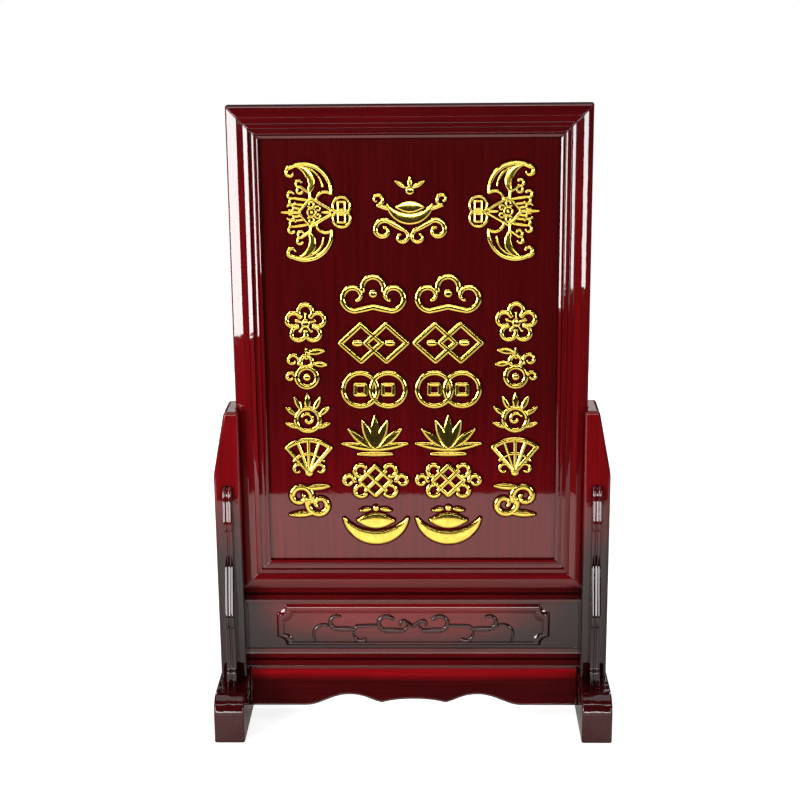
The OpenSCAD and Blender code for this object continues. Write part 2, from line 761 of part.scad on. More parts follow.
// Scrolling tendrils of the carved panel, drawn for the left half of a border of this size
drawn_border = [215, 35];
module tendrils() {
  scale(min(border_l / drawn_border[0], border_h / drawn_border[1])) pair([
    [[-82, -3], [11.5, 11.5], [60, 208], [1.4, 2.6, 1]],
    [[-68.6, 10.6], [9.4, 9.4], [150, 272], [1.2, 3, 1.4]],
    [[-68.2, 1.2], [-56.4, 2.4], [2.6, 3.4, 2.8]],
    [[-52, -7.4], [10.6, 4], [114, 262], [2.8, 2.6, 1]],
    [[-56.4, 2.4], [-35.4, 3.2], [2.8, 2.4, 2.4]],
    [[-27.4, 4.4], [7.6, 5], [188, 44], [2.4, 3, 1.2]],
    [[-26, 2.4], [8.6, 8.6], [186, 318], [2.2, 3.2, 2.4]],
    [[-14.4, 2.8], [5.4, 3], [220, 30], [2.4, 2.6, 1.2]],
    [[-11.8, 5.4], [0, -0.4], [1.8, 2.8, 2.6]],
    [[-44, 3.2], [-38, 10.4], [1.8, 4.2, 1]],
    [[-76, 8], [-86, 9.6], [1.4, 4, 1]]]);
}

/* Gilt pieces on the panel */

// A relief on the panel's face, with its middle at these shares of the panel's width and height
module gilt(x_share, drop_share) {
  color(gold) translate([x_share * sight_w, panel_y, sight_top - drop_share * sight_h])
    rotate([90, 0, 0]) linear_extrude(gilt_t) scale(relief_scale) children();
}

// A mirrored relief for the right-hand side, so that the two columns face each other
module sided(side) {
  mirror([side > 0 ? 1 : 0, 0]) children();
}

module inner_motif(row, side) {
  gilt(side * inner_x_share, inner_top_share + row * inner_row_share) sided(side) {
    if (row == 0) cloud();
    if (row == 1) lozenges();
    if (row == 2) coins();
    if (row == 3) lotus();
    if (row == 4) knot();
    if (row == 5) ingot();
  }
}

module outer_motif(row, side) {
  gilt(side * outer_x_share, outer_top_share + row * outer_row_share) sided(side) {
    if (row == 0) blossom();
    if (row == 1) gourd();
    if (row == 2) pearl();
    if (row == 3) fan();
    if (row == 4) scroll();
  }
}

module flying_bat(side) {
  gilt(side * bat_x_share, bat_top_share) sided(side) bat();
}

module bat_left() {
  flying_bat(-1);
}

module bat_right() {
  flying_bat(1);
}

module crown_emblem() {
  gilt(0, bat_top_share) crown();
}

/* The carved panel of the stand */

border_l = 2 * post_in - 2 * border_end;
border_h = opening_h - 2 * border_side;

function notched(l, h, c) = [
  [-l / 2 + c, -h / 2], [l / 2 - c, -h / 2], [l / 2, -h / 2 + c], [l / 2, h / 2 - c],
  [l / 2 - c, h / 2], [-l / 2 + c, h / 2], [-l / 2, h / 2 - c], [-l / 2, -h / 2 + c]];

module border() {
  difference() {
    polygon(notched(border_l, border_h, border_notch));
    polygon(notched(border_l - 2 * border_w, border_h - 2 * border_w, border_notch));
  }
}

module carved_panel() {
  reach = carved_tongue;
  color(lacquer) {
    box([-post_in, -carved_t / 2, opening_z - reach],
        [post_in, carved_t / 2, opening_z + opening_h + reach]);
    translate([0, 0, opening_z + opening_h / 2])
      along_y(-carved_t / 2 - carve_t, -carved_t / 2) {
        border();
        tendrils();
      }
  }
}

INNER = ["cloud", "lozenges", "coins", "lotus", "knot", "ingot"];
OUTER = ["blossom", "gourd", "pearl", "fan", "scroll"];
function side_name(side) = side < 0 ? "left_" : "right_";

left_foot();
right_foot();
left_post();
right_post();
front_left_spandrel();
front_right_spandrel();
rear_left_spandrel();
rear_right_spandrel();
spandrel_dowels();
upper_cross_rail();
lower_cross_rail();
carved_panel();
front_apron();
rear_apron();
frame_top_rail();
frame_bottom_rail();
frame_left_stile();
frame_right_stile();
mitre_tongues();
tablet_panel();
back_board();
back_board_screws();
bat_left();
bat_right();
crown_emblem();
for (side = [-1, 1], row = [0:len(INNER) - 1])
  inner_motif(row, side);
for (side = [-1, 1], row = [0:len(OUTER) - 1])
  outer_motif(row, side);
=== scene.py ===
"""Looks of a standing spirit tablet: a moulded, lacquered frame with gilt relief in a footed stand."""

import math
from collections import namedtuple

import bmesh
import bpy
import numpy as np
from mathutils import Matrix, Vector


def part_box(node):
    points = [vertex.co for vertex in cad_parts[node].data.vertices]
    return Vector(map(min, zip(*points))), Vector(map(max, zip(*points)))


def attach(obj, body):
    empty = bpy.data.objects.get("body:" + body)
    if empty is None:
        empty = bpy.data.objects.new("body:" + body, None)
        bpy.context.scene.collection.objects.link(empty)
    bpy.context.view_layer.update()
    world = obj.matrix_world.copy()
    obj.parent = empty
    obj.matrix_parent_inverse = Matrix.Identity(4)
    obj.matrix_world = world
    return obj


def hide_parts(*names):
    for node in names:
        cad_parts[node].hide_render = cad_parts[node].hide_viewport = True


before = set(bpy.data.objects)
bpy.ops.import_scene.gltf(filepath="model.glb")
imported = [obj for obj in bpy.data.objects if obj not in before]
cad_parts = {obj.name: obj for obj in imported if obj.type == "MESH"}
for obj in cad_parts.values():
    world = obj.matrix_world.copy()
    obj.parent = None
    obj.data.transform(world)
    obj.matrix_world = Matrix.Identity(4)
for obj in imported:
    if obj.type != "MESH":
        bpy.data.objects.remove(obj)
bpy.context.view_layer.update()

bl_info = {
    "name": "Standing spirit tablet",
    "version": (1, 0, 0),
    "blender": (4, 5, 0),
    "location": "View3D > Sidebar > Tablet",
    "description": "Builds the lacquered frame, the gilt relief and the footed stand of a spirit tablet",
    "category": "Add Mesh",
}

MM = 0.001
X, Y, Z = 0, 1, 2
# Edges that turn by more than this are shaded as sharp
SHARP = math.radians(38)
# Points closer than this are one
WELD = 1e-7
# Steps in the quarter circle of a rounded edge or of a stroke's end
QUARTER_STEPS = 6
# Height over which a post bends into its taper
TAPER_BEND = 4 * MM


# Properties

def linear(code):
    """Linear colour of an sRGB hex value."""
    srgb = np.array([int(code[i:i + 2], 16) for i in (1, 3, 5)]) / 255
    return tuple(np.where(srgb <= 0.04045, srgb / 12.92, ((srgb + 0.055) / 1.055) ** 2.4))


def length(name, description, millimetres):
    """A length property that is written in millimetres and kept in metres."""
    return bpy.props.FloatProperty(
        name=name, description=description, default=millimetres * MM, unit="LENGTH", precision=5)


def angle(name, description, degrees):
    """An angle property that is written in degrees."""
    return bpy.props.FloatProperty(
        name=name, description=description, default=math.radians(degrees), subtype="ANGLE")


def colour(name, description, code):
    """A colour property with an sRGB hex value as its default."""
    return bpy.props.FloatVectorProperty(
        name=name, description=description, default=linear(code), size=3, min=0, max=1, subtype="COLOR")


class FrameSizes(bpy.types.PropertyGroup):
    """Sizes of the tablet's moulded frame"""
    moulding_w: length("Moulding width", "Width of a frame member, seen from the front", 23.3)
    depth: length("Depth", "Thickness of the frame behind its front outer edge", 14)
    arris_r: length("Arris", "Radius of the rounded outer edge", 1.1)
    outer_lean: angle("Outer lean", "How far the broad slope leans outward at the outer edge", 20)
    slope_w: length("Slope width", "Width of the broad slope", 7.25)
    slope_lean: angle("Slope lean", "How far it still leans outward at its top", 10.5)
    crest_w: length("Crest width", "Width of the rounded crest", 0.15)
    fall_w: length("Fall width", "Width of the band that falls inward from the crest", 4.2)
    fall_lean: angle("Fall lean", "How far that band leans inward", 8)
    bead_w: length("Bead width", "Width of the leaning face of the bead", 3.4)
    bead_v: length("Bead height", "How far the bead's foot stands in front of the outer edge", 0.85)
    bead_lean: angle("Bead lean", "How far the bead leans outward at its foot", 23.5)
    bead_foot: length("Bead foot", "Width of the steeper foot of the bead", 0.5)
    bead_face: angle("Bead face", "How far the bead leans outward above its foot", 15.8)
    bead_top: angle("Bead top", "How far the bead leans outward at its top", 10.8)
    bead_roll: length("Bead roll", "Width of the rounding over the bead's top", 0.25)
    groove_v: length(
        "Groove floor", "How far the floor of the groove inside the bead stands in front of the edge", -0.3)
    small_w: length("Small bead", "Width of the small bead in that groove", 1.5)
    small_v: length("Small bead foot", "How far the small bead's foot stands in front of the outer edge", 0)
    quirk_w: length("Quirk width", "Width of the groove outside the lip", 1.2)
    lip_w: length("Lip", "Width of the lip that leans in to the sight edge", 1.9)
    lip_v: length("Lip height", "How far the lip stands in front of the outer edge", 0.8)
    lip_lean: angle("Lip lean", "How far the lip leans inward at its top", 17)
    sight_lean: angle("Sight lean", "How far the lip leans inward at the sight edge", 30)
    panel_set: length("Panel depth", "Depth of the panel's face behind the outer edge", 2.8)
    panel_t: length("Panel thickness", "Thickness of the panel", 6)
    panel_step: length("Panel step", "How far the panel reaches under the frame", 6)
    board_step: length("Board step", "How far the back board reaches behind the frame", 12.3)
    mitre_gap: length("Mitre gap", "Half the width of the hairline at each mitre", 0.05)
    mitre_w: length("Mitre ease", "Width of the eased edges along each mitre", 0.9)
    mitre_d: length("Mitre ease depth", "Depth of the eased edges along each mitre", 0.4)


class ReliefSizes(bpy.types.PropertyGroup):
    """Sizes of the gilt relief"""
    bevel: length("Bevel", "Width of the bevel along a stroke", 1.15)
    bevel_foot: angle("Bevel foot", "Slope of the bevel where it leaves the upright side", 32)
    bevel_top: angle("Bevel top", "Slope of the bevel where it meets the top", 17)
    ridge: angle("Ridge", "Slope from the bevel up to the middle line of a broad stroke", 3)
    ridge_h: length("Ridge height", "The most that the middle line stands above the bevel", 0.6)
    fillet_w: length("Lacquer fillet", "Width of the lacquer that gathers round the relief", 1.4)
    fillet_h: length("Lacquer fillet height", "Height of that lacquer on the sides of the relief", 0.25)


class StandSizes(bpy.types.PropertyGroup):
    """Sizes of the stand"""
    arris_r: length("Post arris", "Radius of the rounded edges of the posts", 2.2)
    top_r: length("Post top", "Radius of the rounding at the top of a post", 2.5)
    taper_h: length("Taper height", "Height of the taper at the top of a post", 50)
    taper_in: length("Taper", "How much the taper takes off a post", 9.5)
    groove_d: length("Groove depth", "Depth of the groove that takes the tablet's edge", 3.15)
    groove_front: length("Groove front", "Place of the groove's front wall in front of the middle", 8.5)
    groove_back: length("Groove back", "Place of the groove's rear wall behind the middle", 8.4)
    groove_r: length("Groove arris", "Rounding of the groove's edges", 0.5)
    foot_r: length("Foot arris", "Radius of the rounded edges of the feet", 1.6)
    nose_r: length("Foot nose", "Radius of the rounded ends of the feet", 14)
    bead_gap: length("Bead gap", "Width of the groove between the two beads of a spandrel", 1.1)
    bead_h: length("Bead height", "Height of those beads", 1.0)
    rail_edge: length("Rail edge", "Rounding of the edges of the cross rails", 0.5)
    fillet_h: length("Rail fillet", "Height of the square fillet of a cross rail", 2.9)
    rail_step: length("Rail step", "Step between the fillet and the leaning face above it", 0.7)
    rail_lean: angle("Rail lean", "How far the face of a cross rail leans back", 16)
    quirk_w: length("Rail quirk", "Width of the groove along the leaning face of a cross rail", 2.2)
    quirk_d: length("Rail quirk depth", "Depth of that groove", 2.6)
    upper_fillet: length("Upper fillet", "Height of the upright fillet on top of the lower rail", 3.2)
    apron_h: length("Apron height", "Slanted height of an apron", 29)
    apron_t: length("Apron thickness", "Thickness of an apron", 6)
    apron_r: length("Apron arris", "Radius of the rounded edges of an apron", 1.2)
    apron_tilt: angle("Apron slope", "Slope of the aprons from upright", 17)
    arch_rise: length("Arch", "Height of the two wide arches of an apron", 8.4)
    cusp_rise: length("Cusp", "Height of the two cusps of an apron", 2)
    middle_rise: length("Middle arch", "Height of the middle arch of an apron", 4.8)
    carve_h: length("Carving", "Height of the carved lines", 1.3)
    border_w: length("Border", "Width of the carved border at its ends", 6)
    border_top: length("Border top", "Width of the carved border along the top", 7.9)
    border_foot: length("Border foot", "Width of the carved border along the bottom", 3.3)
    border_end: length("Border end", "Distance of the carved border from the posts", 23.3)
    border_side: length("Border side", "Distance of the carved border from the rails", 2.5)
    border_notch: length("Border notch", "Radius of the scooped corners of the border", 7)
    tendril_drop: length("Tendril drop", "How far the tendrils lie under the middle of the opening", 2.5)
    tendril_lean: length("Tendril lean", "How far the ridge of a tendril lies under its middle", 0.8)
    carved_t: length("Carved panel", "Thickness of the carved panel", 7)
    opening_h: length("Opening", "Height of the opening between the cross rails", 40)


class Finishes(bpy.types.PropertyGroup):
    """Colours of the finishes"""
    # Each lacquer's two colours are mixed by painted light and shade as well as by clouds
    lacquer: colour("Lacquer", "Red lacquer of the frame", "#760a10")
    lacquer_dark: colour("Lacquer, dark", "Darker clouds in that lacquer", "#56070c")
    stand: colour("Stand", "Red lacquer where the stand is lightest", "#920c14")
    stand_dark: colour("Stand, dark", "Nearly black lacquer where the stand is shaded", "#260708")
    panel: colour("Panel", "Dark red lacquer at the foot of the panel", "#700810")
    panel_dark: colour("Panel, dark", "Darker lacquer of the rest of the panel", "#530609")
    gilt: colour("Gilt", "Burnished gold", "#f8dc58")
    gilt_deep: colour("Gilt, deep", "Thinner, warmer gold", "#ecc243")
    wood: colour("Bare wood", "Unfinished wood in the joints", "#b98a57")
    brass: colour("Brass", "Turned brass of the screws", "#c9a24c")


# Shapes

def circle(turn):
    """Points of a circle of radius one, at angles in radians."""
    return np.stack([np.cos(turn), np.sin(turn)], -1)


def arc(centre, radius, start, end, steps):
    """Points on a circle about the centre, from the start angle to the end angle in degrees."""
    return np.asarray(centre) + radius * circle(np.radians(np.linspace(start, end, steps + 1)))


def chain(first, *curves):
    """Points on cubic curves that are joined end to end. Each leaves towards one point, arrives from
    another, and has its last point and its number of steps."""
    points = [np.array([first], float)]
    for towards, from_there, last, steps in curves:
        t = np.linspace(0, 1, steps + 1)[1:, None]
        p, a, b, q = points[-1][-1], *np.array([towards, from_there, last], float)
        points.append((1 - t) ** 3 * p + 3 * t * (1 - t) ** 2 * a + 3 * t * t * (1 - t) * b + t ** 3 * q)
    return np.concatenate(points)


def unit(vectors):
    """The same vectors with a length of one."""
    return vectors / np.linalg.norm(vectors, axis=1)[:, None]


def raised(flat, rise):
    """Points from places in a plane, X and Z, and how far each stands along Y."""
    return np.stack([flat[..., 0], np.broadcast_to(rise, flat.shape[:2]), flat[..., 1]], -1)


def grid(points, wrap_rows=False, wrap_columns=False):
    """A shell from a grid of points: one quad between neighbours, and across the seam where it wraps."""
    rows, columns = points.shape[:2]
    i = np.arange(rows if wrap_rows else rows - 1)[:, None]
    j = np.arange(columns if wrap_columns else columns - 1)[None, :]
    row, next_row = i * columns, (i + 1) % rows * columns
    j_next = (j + 1) % columns
    quads = np.stack([row + j, next_row + j, next_row + j_next, row + j_next], -1)
    return points.reshape(-1, 3), quads.reshape(-1, 4), []


def tube(points):
    """A grid that wraps across its columns and is closed by a flat face on its first and last row."""
    shell, quads, _ = grid(points, wrap_columns=True)
    rows, columns = points.shape[:2]
    ring = np.arange(columns)
    return shell, quads, [ring, ring + (rows - 1) * columns]


def welded(shell):
    """The same shell with equal points made one: a quad that lost an edge becomes a triangle."""
    points, quads, caps = shell
    _, first, back = np.unique(np.round(points / WELD).astype(np.int64), axis=0,
                               return_index=True, return_inverse=True)
    quads = back.reshape(-1)[quads]
    same = quads == np.roll(quads, -1, axis=1)
    whole = quads[~same.any(1)]
    one = same.sum(1) == 1
    at = same[one].argmax(1)[:, None]
    triangles = np.take_along_axis(quads[one], (at + np.arange(1, 4)) % 4, axis=1)
    return points[first], whole, [*caps, *triangles]


def make_piece(name, shells, material, body, slot, *nodes):
    """Joins shells to one mesh object that rides on a body and stands for CAD nodes."""
    starts = np.cumsum([0] + [len(points) for points, _, _ in shells])
    points = np.concatenate([points for points, _, _ in shells])
    quads = np.concatenate([quads + start for (_, quads, _), start in zip(shells, starts)])
    caps = [cap + start for (_, _, caps), start in zip(shells, starts) for cap in caps]
    mesh = bpy.data.meshes.new(name)
    mesh.from_pydata(points.tolist(), [], quads.tolist() + [cap.tolist() for cap in caps])
    work = bmesh.new()
    work.from_mesh(mesh)
    bmesh.ops.recalc_face_normals(work, faces=work.faces)
    work.to_mesh(mesh)
    work.free()
    sides = np.empty(len(mesh.polygons), np.int32)
    mesh.polygons.foreach_get("loop_total", sides)
    mesh.polygons.foreach_set("use_smooth", sides <= 4)
    mesh.set_sharp_from_angle(angle=SHARP)
    mesh.materials.append(material)
    piece = bpy.data.objects.new(name, mesh)
    bpy.context.scene.collection.objects.link(piece)
    # Wide faces keep their own normal, so that flats reflect as flats
    piece.modifiers.new("face-weighted normals", "WEIGHTED_NORMAL").keep_sharp = True
    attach(piece, body)
    if nodes:
        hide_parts(*nodes)


def mirror(shell, axis):
    """The mirror image of a shell across the plane through the origin that faces an axis."""
    points, quads, caps = shell
    flip = np.ones(3)
    flip[axis] = -1
    return points * flip, quads, caps


def corners(node):
    """Lowest and highest corner of a CAD node."""
    low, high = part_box(node)
    return np.array(low), np.array(high)


def rounded_slab(outline, low, high, radius, place):
    """A flat outline carried from low to high with rounded arrises: near each face the outline
    shrinks along its own normals by the height of a quarter circle. The place function turns
    outline coordinates and the distance across into points."""
    sides = outline - np.roll(outline, 1, 0), np.roll(outline, -1, 0) - outline
    before, after = (unit(np.stack([side[:, 1], -side[:, 0]], -1)) for side in sides)
    mitre = before + after
    # A very sharp corner is held back
    mitre /= np.maximum(0.3, (mitre * before).sum(1))[:, None]
    turn = np.linspace(0, math.pi / 2, QUARTER_STEPS + 1)
    inset = radius * np.concatenate([1 - np.sin(turn), 1 - np.sin(turn[::-1])])
    across = np.concatenate([low + radius * (1 - np.cos(turn)), high - radius * (1 - np.cos(turn[::-1]))])
    rings = outline[None] - inset[:, None, None] * mitre[None]
    depth = np.broadcast_to(across[:, None, None], rings.shape[:2] + (1,))
    return tube(place(rings, depth))


# Marks of the relief, in millimetres about the middle of a motif

Curl = namedtuple("Curl", "centre radii angles widths")
Bar = namedtuple("Bar", "first last widths")
Ring = namedtuple("Ring", "centre radius width")
Spot = namedtuple("Spot", "centre width")
Motif = namedtuple("Motif", "half whole axis", defaults=((), (), 0))


def middle_line(mark):
    """Places, directions and half widths along a stroke. A curl's radius and angle change evenly,
    and its three widths steer a quadratic curve."""
    if isinstance(mark, Curl):
        steps = int(abs(mark.angles[1] - mark.angles[0]) / 8) + 6
        t = np.linspace(0, 1, steps)
        turn = np.radians(mark.angles[0] + (mark.angles[1] - mark.angles[0]) * t)
        radius = mark.radii[0] + (mark.radii[1] - mark.radii[0]) * t
        places = np.array(mark.centre) + radius[:, None] * circle(turn)
    else:
        t = np.linspace(0, 1, 13)
        places = np.array(mark.first) + (np.array(mark.last) - np.array(mark.first)) * t[:, None]
    w = mark.widths
    halves = (w[0] * (1 - t) ** 2 + 2 * w[1] * t * (1 - t) + w[2] * t ** 2) / 2
    return places, unit(np.gradient(places, axis=0)), halves


def relief(mark, profile, ridge=None):
    """The raised shape of one mark, in millimetres: X and Z in the panel's plane, Y its height.
    The profile lists insets from the edge and heights, from the foot of the side to near the
    middle. It is carried along the stroke and turned through half a circle at a stroke's ends,
    through a whole one on a ring or a spot. A ridge, a slope and the most that it rises, keeps the
    bevel's slope on narrow strokes and lets broad ones rise on to their middle line."""
    insets, heights = profile
    deepest = max(insets.max(), 1e-9)
    if isinstance(mark, (Ring, Spot)):
        turn = np.radians(np.arange(0, 360, 7.5))
        spoke = circle(turn)
        if isinstance(mark, Spot):
            half = mark.width / 2
            shrink = min(1, half / deepest)
            reach = np.concatenate([[0], half - insets * np.where(insets > 0, shrink, 1), [0]])
            fall = min(ridge[0] * max(half - deepest, 0), ridge[1]) if ridge else 0
            rise = np.concatenate([[0], heights[:1], heights[1:] - fall, heights[-1:]])
            flat = np.array(mark.centre) + spoke[:, None] * reach[:, None]
            return welded(grid(raised(flat, rise), wrap_rows=True))
        places = np.array(mark.centre) + mark.radius * spoke
        directions = np.stack([-spoke[:, 1], spoke[:, 0]], -1)
        halves = np.full(len(turn), mark.width / 2)
        lean = np.zeros(len(turn))
    else:
        places, directions, halves = middle_line(mark)
        bend = np.linspace(0, math.pi / 2, QUARTER_STEPS + 1)[1:]
        lean = np.concatenate([-bend[::-1], np.zeros(len(places)), bend])
        rows = np.pad(np.arange(len(places)), QUARTER_STEPS, mode="edge")
        places, directions, halves = places[rows], directions[rows], halves[rows]
    across = np.stack([-directions[:, 1], directions[:, 0]], -1) * np.cos(lean)[:, None]
    along = directions * np.sin(lean)[:, None]
    shrink = np.minimum(1, 0.9 * halves / deepest)[:, None]
    reach = halves[:, None] - insets[None] * np.where(insets > 0, shrink, 1)
    sides = [places[:, None] + reach[..., None] * (sign * across + along)[:, None] for sign in (1, -1)]
    flat = np.concatenate([sides[0], places[:, None], sides[1][:, ::-1]], 1)
    rise = np.broadcast_to(heights, reach.shape)
    if ridge:
        fall = (heights[-1] - heights) * shrink + np.minimum(ridge[0] * reach[:, -1:], ridge[1])
        rise = np.where(np.arange(len(heights)) > 0, heights[-1] - fall, 0)
    top = np.full((len(rise), 1), heights[-1])
    rise = np.concatenate([rise, top, rise[:, ::-1]], 1)
    return welded(grid(raised(flat, rise), wrap_rows=isinstance(mark, Ring), wrap_columns=True))


def motif_shells(motif, profile, ridge=None):
    """Shells of a whole motif: its half, the mirror image of that, and what stands alone."""
    half = [relief(mark, profile, ridge) for mark in motif.half]
    whole = [relief(mark, profile, ridge) for mark in motif.whole]
    return half + [mirror(shell, motif.axis) for shell in half] + whole


def bars(widths, *points):
    """Bars of the same widths from each point to the next."""
    return [Bar(first, last, widths) for first, last in zip(points, points[1:])]


def ray(turn, radius):
    """The place at an angle, counted from straight up to the left, and a distance."""
    return -radius * math.sin(turn), radius * math.cos(turn)


